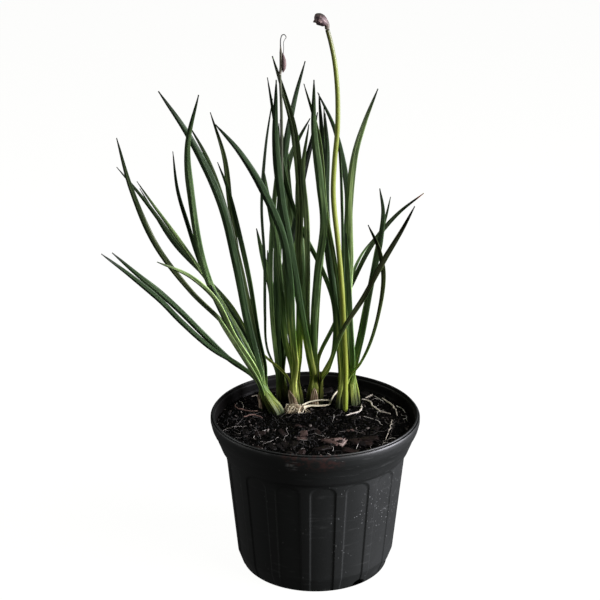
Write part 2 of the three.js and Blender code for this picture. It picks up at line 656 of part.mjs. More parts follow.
const plant = new THREE.Group();
plant.add(pot(), pottingMix());
for (const [name, shoot] of Object.entries(SHOOTS)) plant.add(shootMesh(name, shoot));
plant.add(stem(SCAPE, 'scape', SCAPE_GREEN));
plant.add(bud(BUD, SCAPE, 'spathe_bud', BUD_MAUVE, 9));
plant.add(stem(OLD_SCAPE, 'withered_scape', WITHERED));
plant.add(bud(OLD_BUD, OLD_SCAPE, 'withered_spathe', WITHERED, 16));
plant.add(rhizome());
for (const [name, root] of Object.entries(ROOTS)) plant.add(bareRoot(name, root));
for (const [name, sheath] of Object.entries(SHEATHS)) plant.add(drySheath(name, sheath));

export default plant;
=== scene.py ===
"""Society garlic in a black nursery pot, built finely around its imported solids.

Metres, +Z up, front towards -Y. Numbers in the tables are millimetres. Most of them repeat the
solids' own values, so each fine piece keeps the form of the solid that it stands for. The buds, the
stems' thickness, the feet of the leaves and the larger bark are drawn finer than the solids.
"""

import math
from contextlib import contextmanager

import bmesh
import bpy
import numpy as np
from bpy.props import FloatProperty, FloatVectorProperty, IntProperty, PointerProperty
from mathutils import Euler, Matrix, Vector, noise


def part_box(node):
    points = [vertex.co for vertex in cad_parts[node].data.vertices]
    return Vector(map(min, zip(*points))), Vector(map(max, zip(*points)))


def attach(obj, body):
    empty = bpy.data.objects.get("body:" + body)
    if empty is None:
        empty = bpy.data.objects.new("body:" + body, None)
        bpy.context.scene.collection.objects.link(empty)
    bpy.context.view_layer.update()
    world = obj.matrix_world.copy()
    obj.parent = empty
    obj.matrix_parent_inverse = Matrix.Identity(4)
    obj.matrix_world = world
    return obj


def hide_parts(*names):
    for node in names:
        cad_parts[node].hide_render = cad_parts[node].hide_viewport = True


bl_info = {
    "name": "Potted Society Garlic",
    "version": (1, 0, 0),
    "blender": (4, 5, 0),
    "location": "3D View > Sidebar > Garlic",
    "description": "Society garlic in a black nursery pot, with its potting mix, leaves, buds and roots",
    "category": "Object",
}

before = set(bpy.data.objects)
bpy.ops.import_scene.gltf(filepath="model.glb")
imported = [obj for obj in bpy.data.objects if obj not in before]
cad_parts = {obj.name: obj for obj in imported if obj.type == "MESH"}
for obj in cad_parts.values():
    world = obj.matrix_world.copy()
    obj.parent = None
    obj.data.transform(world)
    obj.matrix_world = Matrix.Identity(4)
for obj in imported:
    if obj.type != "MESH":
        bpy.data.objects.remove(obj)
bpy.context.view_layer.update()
POT_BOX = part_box("pot")

MM = 0.001
BODY = "root"
POT_HEIGHT = 140

# Pot: radius and height of the outside from the foot up, and of the inside from the rim down.
OUTSIDE = [(64.8, 0), (69.3, 13), (78.4, 106), (81.4, 109.5), (86.2, 122.5), (89.1, 128), (90.4, 134),
           (90.4, 138.4), (89, 140)]
INSIDE = [(87.4, 140), (87.2, 137.2), (86.4, 136.4), (86.3, 130), (84.2, 122.8), (79.6, 109.9),
          (76.5, 105.8), (67.5, 13.4), (63.5, 2.4)]
# The lip: a narrow roll that stands on the band's shoulder, with a groove under its outer side.
LIP = [(90.4, 134), (90.4, 136.4), (90.35, 137.5), (90.0, 138.25), (89.5, 138.35), (89.0, 137.95),
       (88.5, 137.5), (88.3, 137.9), (88.6, 138.4), (88.95, 138.85), (89.0, 139.35), (88.75, 139.8),
       (88.25, 140), (87.75, 139.85), (87.4, 139.4), (87.3, 138.4), (87.2, 137.2)]
FIRST_PANEL = 4.4
PANEL_HALF = 11.08
PANEL_BOTTOM = -1
PANEL_TOP = 105.6
PANEL_ARCH = 0.65
BAND_FOOT = 112
BAND_RINGS = (118.3, 125.1)
FLOOR_TOP = 2.4
FIRST_DRAIN = 35
DRAINS = 3
DRAIN_RADIUS = 6

# Potting mix
SOIL_LEVEL = 129
SOIL_RADIUS = 85.1
SOIL_RELIEF = 0.8
SOIL_DIP = 1.2
CHIPS = 12

# Necks: height above the mix, and share of the neck's radius. The feet of the leaves stand out from
# the neck a little longer than the neck itself is thick.
NECK_RINGS = [(-6, 1), (1, 1), (10, 0.9), (22, 0.66), (36, 0.42)]
FOOT_RINGS = [(-6, 1), (1, 1), (10, 0.95), (22, 0.86), (36, 0.66)]
NECK_SHARE = 0.12
ARCH = 1.5
# Heights above the mix: the rings that a leaf has in its neck, where its gutter opens into a blade,
# and where it leaves the neck.
FOOT_LEVELS = [-6.0, -3.0, 0.0, 3.0]
GUTTER_OPENS = (2, 34)
LEAVES_NECK = (8, 46)
NECK_DEPTH = -6
NECK_TOP = 36
# The viewpoint of the photograph, from which the tables' paths were read.
VIEWPOINT = np.array((-13.0, -1092.0, 629.0))

# Shoots: place and radius of the neck, then each leaf's depth at the tip, bow, width, turn of its
# face at the neck and at the tip, and path (x, z) as it appears from the viewpoint.
SHOOTS = {
    "shoot_left_front": ((-33.5, 21.5), 6.4, (
        (-25, 0, 5.4, (50, 20), (
            (-46, 163), (-64, 181), (-88, 197), (-113, 221), (-131, 241), (-155, 263), (-178, 282))),
        (-5, 0, 5.6, (45, 15), (
            (-49, 168), (-74, 188), (-93, 208), (-114, 231), (-130, 247), (-149, 264), (-169, 283))),
        (-45, 0, 5.5, (60, 35), ((-52, 180), (-68, 207), (-84, 241), (-105, 262), (-132, 275))),
        (15, 0, 5.8, (65, 15), (
            (-56, 180), (-75, 216), (-105, 249), (-133, 290), (-151, 337), (-161, 380))),
        (-30, 0, 6.5, (20, 10), ((-49, 170), (-71, 214), (-92, 266), (-102, 328), (-104, 374), (-94, 415))),
        (5, 0, 7, (35, 20), ((-50, 172), (-66, 205), (-80, 235), (-88, 255))),
        (-55, 0, 6, (60, 45), ((-48, 165), (-60, 186), (-75, 212), (-86, 232))),
    )),
    "shoot_left_back": ((-44, 31), 4.8, (
        (10, 0, 7.2, (25, 10), ((-49, 182), (-58, 223), (-67, 275), (-79, 328), (-102, 380), (-126, 418))),
        (40, 0, 5.5, (40, 20), ((-46, 178), (-54, 223), (-63, 270), (-75, 321), (-88, 362), (-102, 390))),
        (65, 0, 5.5, (50, 20), ((-44, 173), (-51, 219), (-63, 270), (-70, 324), (-74, 363), (-85, 401))),
        (35, 0, 5, (50, 20), ((-42, 176), (-48, 210), (-55, 259), (-64, 304), (-72, 338), (-80, 360))),
        (60, 0, 4.4, (55, 20), ((-46, 176), (-64, 219), (-92, 261), (-116, 292), (-142, 330), (-162, 356))),
        (25, 0, 4, (50, 20), ((-46, 170), (-70, 223), (-101, 275), (-124, 310), (-136, 328), (-146, 344))),
        (55, 0, 4.5, (60, 30), ((-44, 170), (-64, 214), (-92, 264), (-106, 310), (-113, 337), (-116, 369))),
        (55, 0, 6, (40, 20), ((-46, 175), (-54, 222), (-62, 265), (-68, 300))),
    )),
    "shoot_middle_back": ((-29.5, 51), 5.5, (
        (90, 0, 4.5, (70, 50), (
            (-34, 173), (-42, 201), (-43, 228), (-43, 277), (-45, 324), (-41, 374), (-35, 412))),
        (110, 0, 6, (30, 10), ((-30, 178), (-34, 214), (-37, 250), (-45, 285), (-49, 304))),
        (75, 0, 6.5, (45, 10), (
            (-31, 178), (-33, 232), (-33, 277), (-30, 320), (-26, 366), (-17, 413), (-9, 442))),
        (130, 0, 6.5, (30, 10), (
            (-29, 182), (-32, 223), (-31, 277), (-28, 324), (-20, 366), (-11, 385), (-5, 396))),
        (100, 0, 6.5, (40, 10), (
            (-28, 178), (-31, 223), (-26, 268), (-16, 310), (-11, 345), (-3, 380), (1, 401))),
        (150, 0, 6.5, (50, 30), ((-27, 180), (-24, 240), (-22, 300), (-24, 350), (-29, 395))),
        (60, 0, 6, (60, 40), ((-32, 175), (-37, 225), (-38, 275), (-35, 325), (-31, 365), (-30, 392))),
        (165, 0, 6, (40, 20), ((-31, 180), (-34, 225), (-38, 260), (-40, 285))),
    )),
    "shoot_middle": ((-15.8, 38.8), 6, (
        (-80, 0, 7, (40, 15), (
            (-17, 180), (-20, 214), (-22, 259), (-28, 298), (-44, 337), (-62, 368), (-81, 391))),
        (30, 0, 6.5, (45, 20), ((-19, 176), (-26, 205), (-30, 255), (-34, 298), (-40, 333), (-43, 356))),
        (75, 0, 4.5, (70, 50), ((-28, 172), (-51, 200), (-71, 236), (-92, 261), (-119, 292), (-144, 338))),
        (60, 0, 7, (30, 5), (
            (-14.5, 178), (-13, 232), (-14, 281), (-13, 337), (-18, 387), (-26, 417), (-35, 446))),
        (120, 0, 6.5, (45, 20), ((-15, 180), (-13, 235), (-17, 290), (-22, 340), (-24, 380))),
        (20, 0, 6, (65, 50), ((-18, 178), (-23, 220), (-26, 262), (-27, 300), (-26, 335))),
    )),
    "shoot_centre": ((0.5, 43), 7.6, (
        (-45, 0, 7, (30, 5), ((-5, 189), (-12, 228), (-21, 285), (-29, 333), (-33, 378), (-32, 427))),
        (20, 0, 5.5, (50, 20), ((-4, 185), (-7, 223), (-7, 268), (-8, 311), (-11, 354), (-6, 391))),
        (-20, 0, 7, (35, 10), ((-1, 182), (-2, 214), (1, 264), (6, 307), (3, 341), (-2, 387), (-2, 427))),
        (70, 0, 5.5, (55, 30), (
            (13, 182), (17, 210), (15, 241), (5, 270), (-10, 301), (-23, 338), (-32, 387), (-39, 429))),
        (58, 12, 5, (60, 25), ((2, 186), (16, 219), (30, 254), (47, 290), (67, 316), (88, 334))),
        (-80, -22, 5.8, (65, 30), ((10, 174), (22, 211), (41, 244), (58, 278), (72, 304), (81, 323))),
        (75, 0, 6.5, (40, 20), ((-6, 190), (-9, 240), (-13, 290), (-15, 335), (-14, 370))),
        (120, 0, 6, (50, 30), ((0, 185), (2, 240), (6, 290), (9, 335), (8, 375), (6, 405))),
        (150, 0, 6, (40, 20), ((-3, 190), (-8, 235), (-10, 275), (-9, 310))),
    )),
    "shoot_right_front": ((23.5, 33), 5.6, (
        (85, 10, 6.5, (45, 20), ((22, 187), (18, 234), (11, 278), (7, 324), (5, 378), (2, 416))),
        (20, 0, 5.5, (50, 30), ((24, 187), (21, 241), (15, 282), (8, 320), (2, 382), (-10, 424))),
        (-40, 0, 5.5, (82, 30), ((30, 167), (45, 197), (54, 231), (57, 264), (52, 288), (43, 307))),
        (60, 0, 4, (60, 50), ((26, 185), (24, 223), (23, 275), (22, 316), (20, 358), (16, 395))),
        (35, 0, 6, (35, 10), ((21, 187), (16, 240), (11, 285), (8, 330), (9, 370), (7, 400))),
    )),
    "shoot_right_back": ((35.5, 39.5), 5, (
        (110, 0, 6, (45, 20), ((25, 187), (25, 250), (25, 298), (25, 337), (15, 386), (1, 417))),
        (60, 0, 7, (35, 15), ((30, 182), (27, 228), (28, 277), (27, 324), (31, 366), (39, 394), (49, 420))),
        (25, 0, 6, (50, 20), ((34, 180), (40, 214), (46, 255), (53, 294), (55, 318), (52, 338))),
        (75, 0, 4.5, (55, 30), ((33, 182), (39, 219), (46, 257), (53, 296), (58, 315), (61, 331))),
        (100, 0, 4, (60, 40), ((31, 187), (28, 223), (30, 259), (37, 279), (48, 296))),
        (15, 0, 5.5, (50, 30), ((32, 183), (29, 225), (27, 262), (25, 300))),
    )),
}

# How soon the leaves of a shoot turn from yellow-green to green, on their way up.
AGES = {"shoot_left_front": 1.3, "shoot_left_back": 1.8, "shoot_middle_back": 1.6, "shoot_middle": 0.62,
        "shoot_centre": 0.8, "shoot_right_front": 0.85, "shoot_right_back": 1.05}

# The end of the path of the one leaf whose tip has dried.
DRY_TIP = (88, 334)

# Flower stems: neck in the mix, radius, depth of the top, path (x, z) up to the bud, and how much
# thicker than its solid the fine stem is.
SCAPE = ((27, 24), 1.8, -5, (
    (26, 159), (26, 182), (24, 218), (22, 252), (18, 294), (15, 320), (14, 337), (15, 362), (17, 387),
    (17, 411), (16, 427), (14, 443), (11, 457), (8.4, 466.4)), 1.2)
OLD_SCAPE = ((-17.5, 52), 1.3, 40, (
    (-18, 176), (-22, 210), (-25, 259), (-27, 311), (-28, 362), (-28, 403), (-29, 431)), 1.1)
STEM_TAPER = 0.8
# The fresh bud widens from the stem to its blunt end, and has a beak that points down.
BUD = [(7.8, 470.7, 2.2), (5.7, 472.4, 3.7), (3.5, 474, 4.6), (1.5, 475, 4.7), (-0.1, 475.4, 4),
       (-1.2, 475.3, 2.8), (-2, 475.2, 1)]
BEAK = [(4, 472.6, 2.6), (1.5, 473.4, 2.7), (-0.8, 473.4, 1.8), (-2.8, 472.6, 0.4)]
# The withered one: its stalk, the limp sheath that hangs on its right, and its thread with a hook.
OLD_STALK = [(-28.3, 436, 1.25), (-28.2, 442.8, 1.2), (-28.3, 449, 1.05), (-28.4, 453.5, 0.5)]
OLD_SHEATH = [(-26.8, 448.6, 0.3), (-26.3, 446, 1), (-25.9, 442.5, 1.8), (-25.8, 439, 2), (-26, 436, 1.6),
              (-26.6, 433, 0.4)]
OLD_THREAD = [(-28.4, 451, 0.6), (-28.5, 455.4, 0.48), (-28.4, 458.6, 0.45), (-27.3, 462.2, 0.42),
              (-25.6, 462.8, 0.4), (-24, 460.8, 0.32), (-25, 459.1, 0.25), (-26, 457, 0.25),
              (-26, 452.3, 0.25), (-26.3, 447, 0.25)]

# Bare crown of the rhizome, its stubs and its runner: route (x, y), rise and radii.
RHIZOME = [
    (((-24.5, 26), (-20, 27.5), (-15, 25.5), (-10.5, 27)), 1.4, (2, 3.6, 3.9, 3.3, 1.6)),
    (((-21, 26), (-22, 21.5), (-23.5, 18)), 0.8, (2.2, 1.8, 1)),
    (((-15, 26), (-14, 21), (-15.5, 17.5)), 0.6, (2.4, 1.6, 0.9)),
    (((-12, 27), (-5, 31), (3, 31), (12, 33), (14.5, 41), (17, 53), (21, 66)), 2,
     (1.8, 1.5, 1.2, 1.3, 1, 0.8)),
]

# Bare roots on the mix: radius and route (x, y).
ROOTS = {
    "root_left_long": (1, ((-71, 37), (-70, 29), (-66, 24), (-60, 21), (-50, 20))),
    "root_left_short": (0.8, ((-62, 9), (-54, 11), (-46, 8))),
    "root_twig": (0.8, ((-57, 55), (-53, 56), (-50, 49))),
    "root_right_hook": (0.9, ((41.5, 34), (41, 26), (35, 18), (27, 12))),
    "root_right_long": (1.1, ((42.5, 46), (48, 44), (52, 32), (57, 20), (66, 13))),
    "root_right_back": (0.9, ((46, 50), (51, 55), (53, 59))),
    "root_right_side": (1, ((61, 50), (68, 38), (71, 26), (72, 12))),
    "root_straw": (0.7, ((67, 4), (65, -10), (59, -36))),
}

# Papery sheaths: shoot, facing angle, spread and height.
SHEATHS = {
    "dry_sheath_middle": ("shoot_middle", 215, 130, 15),
    "dry_sheath_centre": ("shoot_centre", 262, 60, 17),
    "dry_sheath_left": ("shoot_left_back", 205, 90, 13),
}

# Larger pieces of bark that lie on top: place (x, y), length, width, height and turn in degrees.
BARK = [
    ((19, -37), 11, 5, 2.8, 20, 1.2), ((13, -42), 12, 4, 2.4, -35, 1.05), ((22, -43), 9, 5, 2.2, 60, 1.3),
    ((9, -37), 8, 4, 2.2, 5, 0.9), ((38, -40), 15, 9, 2.2, 30, 0.68), ((46, -36), 12, 8, 2, 5, 0.6),
    ((41, -44), 11, 5, 1.8, -20, 0.75), ((-11, -32), 7, 4, 1.8, 40, 1),
    ((30, -18), 6, 3.5, 1.8, 15, 1), ((-47, -24), 9, 6, 2.6, 10, 0.6), ((6, -54), 12, 6, 2.4, 24, 0.5),
    ((30, -60), 14, 6, 2.6, -20, 0.7), ((-18, -48), 10, 5, 2.2, 70, 0.3), ((-36, -50), 8, 5, 2, 130, 0.2),
    ((52, -14), 8, 5, 2.4, 55, 0.4), ((-60, -22), 9, 5, 2, 100, 0.2), ((-70, 30), 8, 4, 2, 60, 0.3),
    ((10, 66), 12, 6, 2.4, 15, 0.4), ((46, 62), 9, 6, 2.2, 120, 0.3), ((-38, 66), 11, 5, 2.2, 30, 0.5),
    ((-4, -14), 6, 4, 1.8, 20, 0.4), ((2, -20), 8, 4, 2, 110, 0.6),
]

# Threads seen on the mix: route (x, y), radius and shade, from dark to pale.
SEEN_THREADS = [
    (((69.5, 4.4), (65.5, -18), (61.9, -36)), 0.3, 0.4), (((-76, 19), (-76, 2), (-75, -6)), 0.4, 0.3),
    (((-66, 2), (-69, -12), (-65, -20)), 0.4, 0.3), (((-51, 34), (-45, 34)), 0.4, 0.2),
    (((-55, 9), (-46, 9)), 0.4, 0.2), (((31, 18), (37, 20), (41, 26), (40.5, 34)), 0.4, 1),
    (((15, 50), (17.5, 58), (18, 65)), 0.3, 1), (((-70, 40), (-67, 44), (-64, 38), (-63, 27)), 0.4, 0.8),
    (((74, 34), (79, 26), (80, 12), (77, 4)), 0.4, 0.9), (((45, 52), (53, 58), (60, 45), (62, 40)), 0.4, 0.9),
    (((-70, -17), (-65, -26), (-60, -6), (-52, -13), (-46, -35)), 0.35, 0.5),
    (((-18, -30), (-8, -38), (4, -34), (12, -30)), 0.3, 0.7), (((42, 10), (52, 4), (58, -6)), 0.35, 0.8),
]

# The strand that springs back over the runner, from its bend to the crown.
LOOP = [(14.2, 39, 131.4), (14.6, 36.5, 133), (11, 34.6, 134.6), (4, 33.6, 135), (-4, 32.5, 134),
        (-11, 30, 132)]

# Studio, in metres. Lamps: place, size, power as a share of the key light's, and colour.
LAMPS = {
    "key": ((1.9, -1.5, 1.75), 1.2, 1, (1.0, 0.98, 0.95)),
    "side": ((1.65, -0.3, 0.45), 1.0, 1.47, (0.93, 0.92, 1.0)),
    "top": ((-0.2, 0.6, 2.8), 1.5, 0.2, (1, 1, 1)),
    "left": ((-1.6, 0.2, 0.8), 0.8, 0.17, (1, 1, 1)),
}
LAMPS_AIM = Vector((0, 0, 0.2))
SKY_STRENGTH = 0.06
CAMERA_PLACE = (-0.0131, -1.092, 0.62939)
# Degrees that the camera looks down.
CAMERA_DIP = 19.56
FLOOR_HALF = 20
# Under the pot's foot the floor is painted black, a painted shadow, to this radius in millimetres.
PAINTED_SHADOW_RADIUS = 64.4

# Fibrous skins: roughness, how fine the fibres are along each axis, their depth in millimetres, and
# shades from dark to pale.
SKINS = {
    # Stubs of old leaves in a neck, painted dark as well to stand for the shade between the feet of the
    # leaves: olive in their hollows, straw on their edges, dull.
    "old_leaf_bases_and_painted_shade": (0.8, (700, 700, 60), 0.2, [(0.0, "#14160a"), (1.0, "#8d8a4a"), (0.5, "#333819")]),
    # A flower stem that has dried: grey-green, long fibres, matt.
    "withered_stem_fibre": (0.85, (900, 900, 35), 0.2,
        [(0.0, "#12150c"), (1.0, "#63654f"), (0.5, "#353a28")]),
    # The stalk of the withered bud: bleached to straw grey, matt.
    "withered_stalk": (0.85, (900, 900, 60), 0.2, [(0.0, "#191a10"), (1.0, "#7c7565"), (0.5, "#484538")]),
    # Its limp sheath: thin dead skin, dull pink-brown.
    "withered_bud_sheath": (0.8, (700, 700, 90), 0.2, [(0.0, "#2a2020"), (1.0, "#8d7673"), (0.5, "#584644")]),
    # Its thread: nearly black, with a grey bloom.
    "withered_thread": (0.8, (700, 700, 90), 0.2, [(0.0, "#0c0c0a"), (1.0, "#8c8a84"), (0.5, "#2b2a26")]),
    # Scaly skin of the rhizome's crown: brown between cream ridges, rough.
    "rhizome_skin": (0.85, (420, 420, 420), 0.4,
        [(0.0, "#2a1f17"), (1.0, "#e0d8c0"), (0.4, "#6f5f4a"), (0.65, "#ab9f85")]),
    # The younger skin of its runner: smoother and cream.
    "rhizome_runner_skin": (0.7, (700, 700, 90), 0.2, [(0.0, "#6b5b45"), (1.0, "#efe9d8"), (0.5, "#c6bca2")]),
    # Living roots: pale grey-cream skin, dusted with mix.
    "pale_root_skin": (0.78, (500, 500, 500), 0.2, [(0.0, "#5a514a"), (1.0, "#ebe6dd"), (0.5, "#b3aaa0")]),
    # Older roots: red-brown and dull.
    "red_brown_root_skin": (0.8, (500, 500, 500), 0.2,
        [(0.0, "#241916"), (1.0, "#a98f80"), (0.5, "#5e4640")]),
    # Root threads: most of them dark with mix, a few bleached.
    "root_thread": (0.8, (400, 400, 400), 0.2,
        [(0.0, "#171414"), (1.0, "#dad6d0"), (0.45, "#443f3d"), (0.75, "#938d88")]),
    # Dry papery leaf sheaths: straw and tan, with brown between the fibres.
    "dry_leaf_sheath": (0.75, (900, 900, 60), 0.2,
        [(0.0, "#3d2f25"), (1.0, "#ddd0b4"), (0.35, "#6d5746"), (0.65, "#a08c72")]),
}


def linear(hex_colour):
    """An sRGB hex colour as linear RGBA."""
    parts = [int(hex_colour[i:i + 2], 16) / 255 for i in (1, 3, 5)]
    return tuple(p / 12.92 if p <= 0.04045 else ((p + 0.055) / 1.055) ** 2.4 for p in parts) + (1.0,)


def colour_value(name, description, hex_colour):
    """A colour that the panel shows."""
    return FloatVectorProperty(name=name, description=description, default=linear(hex_colour)[:3],
        subtype="COLOR", min=0, max=1)


class GarlicPot(bpy.types.PropertyGroup):
    """The nursery pot."""

    height: FloatProperty(name="Height", description="From the foot to the top of the lip",
        default=POT_BOX[1].z, unit="LENGTH")
    panels: IntProperty(name="Panels", description="Recessed panels round the wall", default=16, min=3)
    panel_depth: FloatProperty(name="Panel Depth", description="How deep a panel lies in the wall",
        default=0.9 * MM, unit="LENGTH")
    plastic: colour_value("Plastic", "Colour of the clean plastic", "#131514")
    scuff: colour_value("Scuffs", "Colour of scuffs and dried splashes", "#8d8f8e")


class GarlicMix(bpy.types.PropertyGroup):
    """The potting mix."""

    crumbs: IntProperty(name="Crumbs", description="Crumbs per square metre of surface", default=130000,
        min=0)
    crumb_size: FloatProperty(name="Crumb Size", description="Radius of the largest crumb",
        default=2.3 * MM, unit="LENGTH")
    threads: IntProperty(name="Threads", description="Fine bare roots that lie on the mix", default=110,
        min=0)
    peat: colour_value("Peat", "Colour of the damp peat", "#020202")


class GarlicLeaves(bpy.types.PropertyGroup):
    """The leafy shoots."""

    middle: FloatProperty(name="Middle Thickness", description="Thickness of a leaf at its middle",
        default=1.2 * MM, unit="LENGTH")
    step: FloatProperty(name="Step", description="Length of one step along a leaf", default=2.6 * MM,
        unit="LENGTH")
    vein: FloatProperty(name="Vein Spacing", description="Distance from one vein to the next",
        default=0.75 * MM, unit="LENGTH")
    channel: FloatProperty(name="Channel", description="How far a leaf curls to each side of its middle",
        default=math.radians(24), subtype="ANGLE")
    blade: colour_value("Blade", "Colour of a full-grown blade", "#2f4729")


class GarlicStudio(bpy.types.PropertyGroup):
    """Floor, lights and camera."""

    key: FloatProperty(name="Key Light", description="Power of the large soft light", default=68,
        unit="POWER")
    lens: FloatProperty(name="Lens", description="Focal length on a 36 mm sensor", default=82.8)
    floor: colour_value("Floor", "Colour of the plain floor", "#fcfcfb")


# Nodes, trees and meshes


def add(tree, kind, inputs=(), out=0, stops=(), **settings):
    """Adds a node with its settings, fills or links its inputs, and returns one of its outputs.

    A kind without "Node" in its name is a shader node, and a second word is its operation. Inputs come
    by name or number, or in a row: a map range takes its value, the two ends it comes from and the two
    ends it goes to. A slice as the output gives a list of them.
    """
    kind, _, operation = kind.partition(" ")
    made = tree.nodes.new(kind if "Node" in kind else "ShaderNode" + kind)
    if operation:
        made.operation = operation
    for key, value in settings.items():
        setattr(made, key, value)
    for key, value in (inputs if isinstance(inputs, dict) else dict(enumerate(inputs))).items():
        if isinstance(value, bpy.types.NodeSocket):
            tree.links.new(value, made.inputs[key])
        else:
            made.inputs[key].default_value = value
    for i, (place, hex_colour) in enumerate(stops):
        ramp = made.color_ramp.elements
        stop = ramp[i] if i < 2 else ramp.new(place)
        stop.position = place
        stop.color = linear(hex_colour)
    return made.outputs[out] if made.outputs else made


def new_tree(name, sockets):
    """A geometry tree with named inputs. Returns the tree and its input sockets by name."""
    tree = bpy.data.node_groups.new(name, "GeometryNodeTree")
    tree.interface.new_socket(name="Geometry", in_out="OUTPUT", socket_type="NodeSocketGeometry")
    tree.interface.new_socket(name="Geometry", in_out="INPUT", socket_type="NodeSocketGeometry")
    for label, kind in sockets:
        tree.interface.new_socket(name=label, in_out="INPUT", socket_type="NodeSocket" + kind)
    entry = tree.nodes.new("NodeGroupInput")
    return tree, {socket.name: socket for socket in entry.outputs if socket.name}


def end_tree(tree, geometry, material):
    """Ends a tree in real geometry with its material."""
    real = add(tree, "GeometryNodeRealizeInstances", {"Geometry": geometry})
    dressed = add(tree, "GeometryNodeSetMaterial", {"Geometry": real, "Material": material})
    add(tree, "NodeGroupOutput", {"Geometry": dressed})
    return tree


def grown(name, source, tree, values):
    """Runs a tree on an object and returns the result as a plain mesh object."""
    modifier = source.modifiers.new("Growth", "NODES")
    modifier.node_group = tree
    for item in tree.interface.items_tree:
        if item.item_type == "SOCKET" and item.in_out == "INPUT" and item.name in values:
            modifier[item.identifier] = values[item.name]
    evaluated = source.evaluated_get(bpy.context.evaluated_depsgraph_get())
    mesh = bpy.data.meshes.new_from_object(evaluated)
    mesh.name = name
    plain = bpy.data.objects.new(name, mesh)
    bpy.context.scene.collection.objects.link(plain)
    bpy.data.objects.remove(source)
    return plain


def mesh_object(name, points, faces, material=None, edges=(), smooth=True, **attributes):
    """A mesh object from points in millimetres, with float or vector values on its points."""
    mesh = bpy.data.meshes.new(name)
    mesh.from_pydata((np.asarray(points, float) * MM).tolist(), list(edges), faces)
    for label, values in attributes.items():
        values = np.asarray(values, float)
        kind = "FLOAT_VECTOR" if values.ndim == 2 else "FLOAT"
        data = mesh.attributes.new(label, kind, "POINT").data
        data.foreach_set("vector" if values.ndim == 2 else "value", values.ravel())
    if smooth:
        mesh.polygons.foreach_set("use_smooth", [True] * len(mesh.polygons))
    if material:
        mesh.materials.append(material)
    made = bpy.data.objects.new(name, mesh)
    bpy.context.scene.collection.objects.link(made)
    return made


def joined(name, pieces):
    """Several objects as one, with the name given."""
    first = pieces[0]
    with bpy.context.temp_override(active_object=first, object=first, selected_objects=pieces,
                                   selected_editable_objects=pieces):
        bpy.ops.object.join()
    first.name = name
    first.data.name = name
    return first


@contextmanager
def opened(piece):
    """Opens the mesh of a piece for edits, and writes it back."""
    work = bmesh.new()
    work.from_mesh(piece.data)
    yield work
    work.to_mesh(piece.data)
    work.free()


def faced_outwards(piece):
    """Turns every face of a closed piece outwards, and shades it smooth."""
    with opened(piece) as work:
        bmesh.ops.recalc_face_normals(work, faces=work.faces)
        for face in work.faces:
            face.smooth = True
    return piece


def finished(piece, slot, *nodes):
    """Settles a piece on the part's body, in place of the solids that it stands for."""
    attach(piece, BODY)
    if nodes:
        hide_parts(*nodes)
    return piece


def random_from(seed):
    """A seeded random number from 0 to 1, drawn as the solids draw theirs."""
    state = [seed]

    def draw():
        state[0] = (state[0] * 1664525 + 1013904223) & 0xFFFFFFFF
        return state[0] / 4294967296

    return draw


def smoothstep(x, low, high):
    """A soft step from 0 at the low end to 1 at the high end."""
    share = np.clip((np.asarray(x, float) - low) / (high - low), 0, 1)
    return share * share * (3 - 2 * share)


def lerp(a, b, share):
    return a + (b - a) * share


def grid_faces(rows, columns, closed=True):
    """Quads of a grid of points, row by row, whose rows close on themselves or not."""
    faces = []
    for i in range(rows - 1):
        for j in range(columns if closed else columns - 1):
            k = (j + 1) % columns
            faces.append((i * columns + j, i * columns + k, (i + 1) * columns + k, (i + 1) * columns + j))
    return faces


# Paths


def spline(points, shares):
    """Points on a centripetal curve through the points given, at shares of its own parameter."""
    points = np.asarray(points, float)
    whole = np.vstack([2 * points[0] - points[1], points, 2 * points[-1] - points[-2]])
    place = np.clip(np.asarray(shares, float), 0, 1) * (len(points) - 1)
    low = np.minimum(place.astype(int), len(points) - 2)
    t = (place - low)[:, None]
    p0, p1, p2, p3 = (whole[low + i] for i in range(4))
    gaps = [np.sqrt(np.linalg.norm(b - a, axis=1))[:, None] for a, b in ((p0, p1), (p1, p2), (p2, p3))]
    d0, d1, d2 = (np.maximum(gap, 1e-4) for gap in gaps)
    m1 = ((p1 - p0) / d0 - (p2 - p0) / (d0 + d1) + (p2 - p1) / d1) * d1
    m2 = ((p2 - p1) / d1 - (p3 - p1) / (d1 + d2) + (p3 - p2) / d2) * d1
    return p1 + m1 * t + (-3 * p1 + 3 * p2 - 2 * m1 - m2) * t ** 2 + (2 * p1 - 2 * p2 + m1 + m2) * t ** 3


def even_points(points, count):
    """Evenly spaced points on the same curve, and its length."""
    fine = spline(points, np.linspace(0, 1, 600))
    lengths = np.concatenate([[0], np.cumsum(np.linalg.norm(np.diff(fine, axis=0), axis=1))])
    places = np.linspace(0, lengths[-1], count)
    return np.stack([np.interp(places, lengths, fine[:, i]) for i in range(3)], axis=1), lengths[-1]


def unit(vectors):
    """Rows of vectors, each at length one."""
    return vectors / np.linalg.norm(vectors, axis=1)[:, None]


def tangents(points):
    """The way a line runs at each of its points."""
    return unit(np.gradient(points, axis=0))


def on_sight_line(x, z, depth):
    """The place at a depth that appears at (x, z) from the viewpoint."""
    point = np.array((x, 0.0, z)) - VIEWPOINT
    return point * (1 - depth / VIEWPOINT[1]) + VIEWPOINT


def standing():
    """Place and radius of everything that stands in the mix."""
    return [shoot[:2] for shoot in SHOOTS.values()] + [SCAPE[:2], OLD_SCAPE[:2]]


def soil_height(x, y):
    """The rolling surface of the mix, flat at its edge and round each neck."""
    edge = float(smoothstep(SOIL_RADIUS - math.hypot(x, y), 0, 14))
    collar = 1.0
    for base, radius in standing():
        away = math.hypot(x - base[0], y - base[1]) - radius
        collar = min(collar, float(smoothstep(away, 3, 12)))
    waves = math.sin(0.16 * x + 1.3) * math.cos(0.19 * y) + 0.6 * math.sin(0.27 * x - 0.23 * y)
    return SOIL_LEVEL - SOIL_DIP * (1 - edge) + SOIL_RELIEF * waves * edge * collar


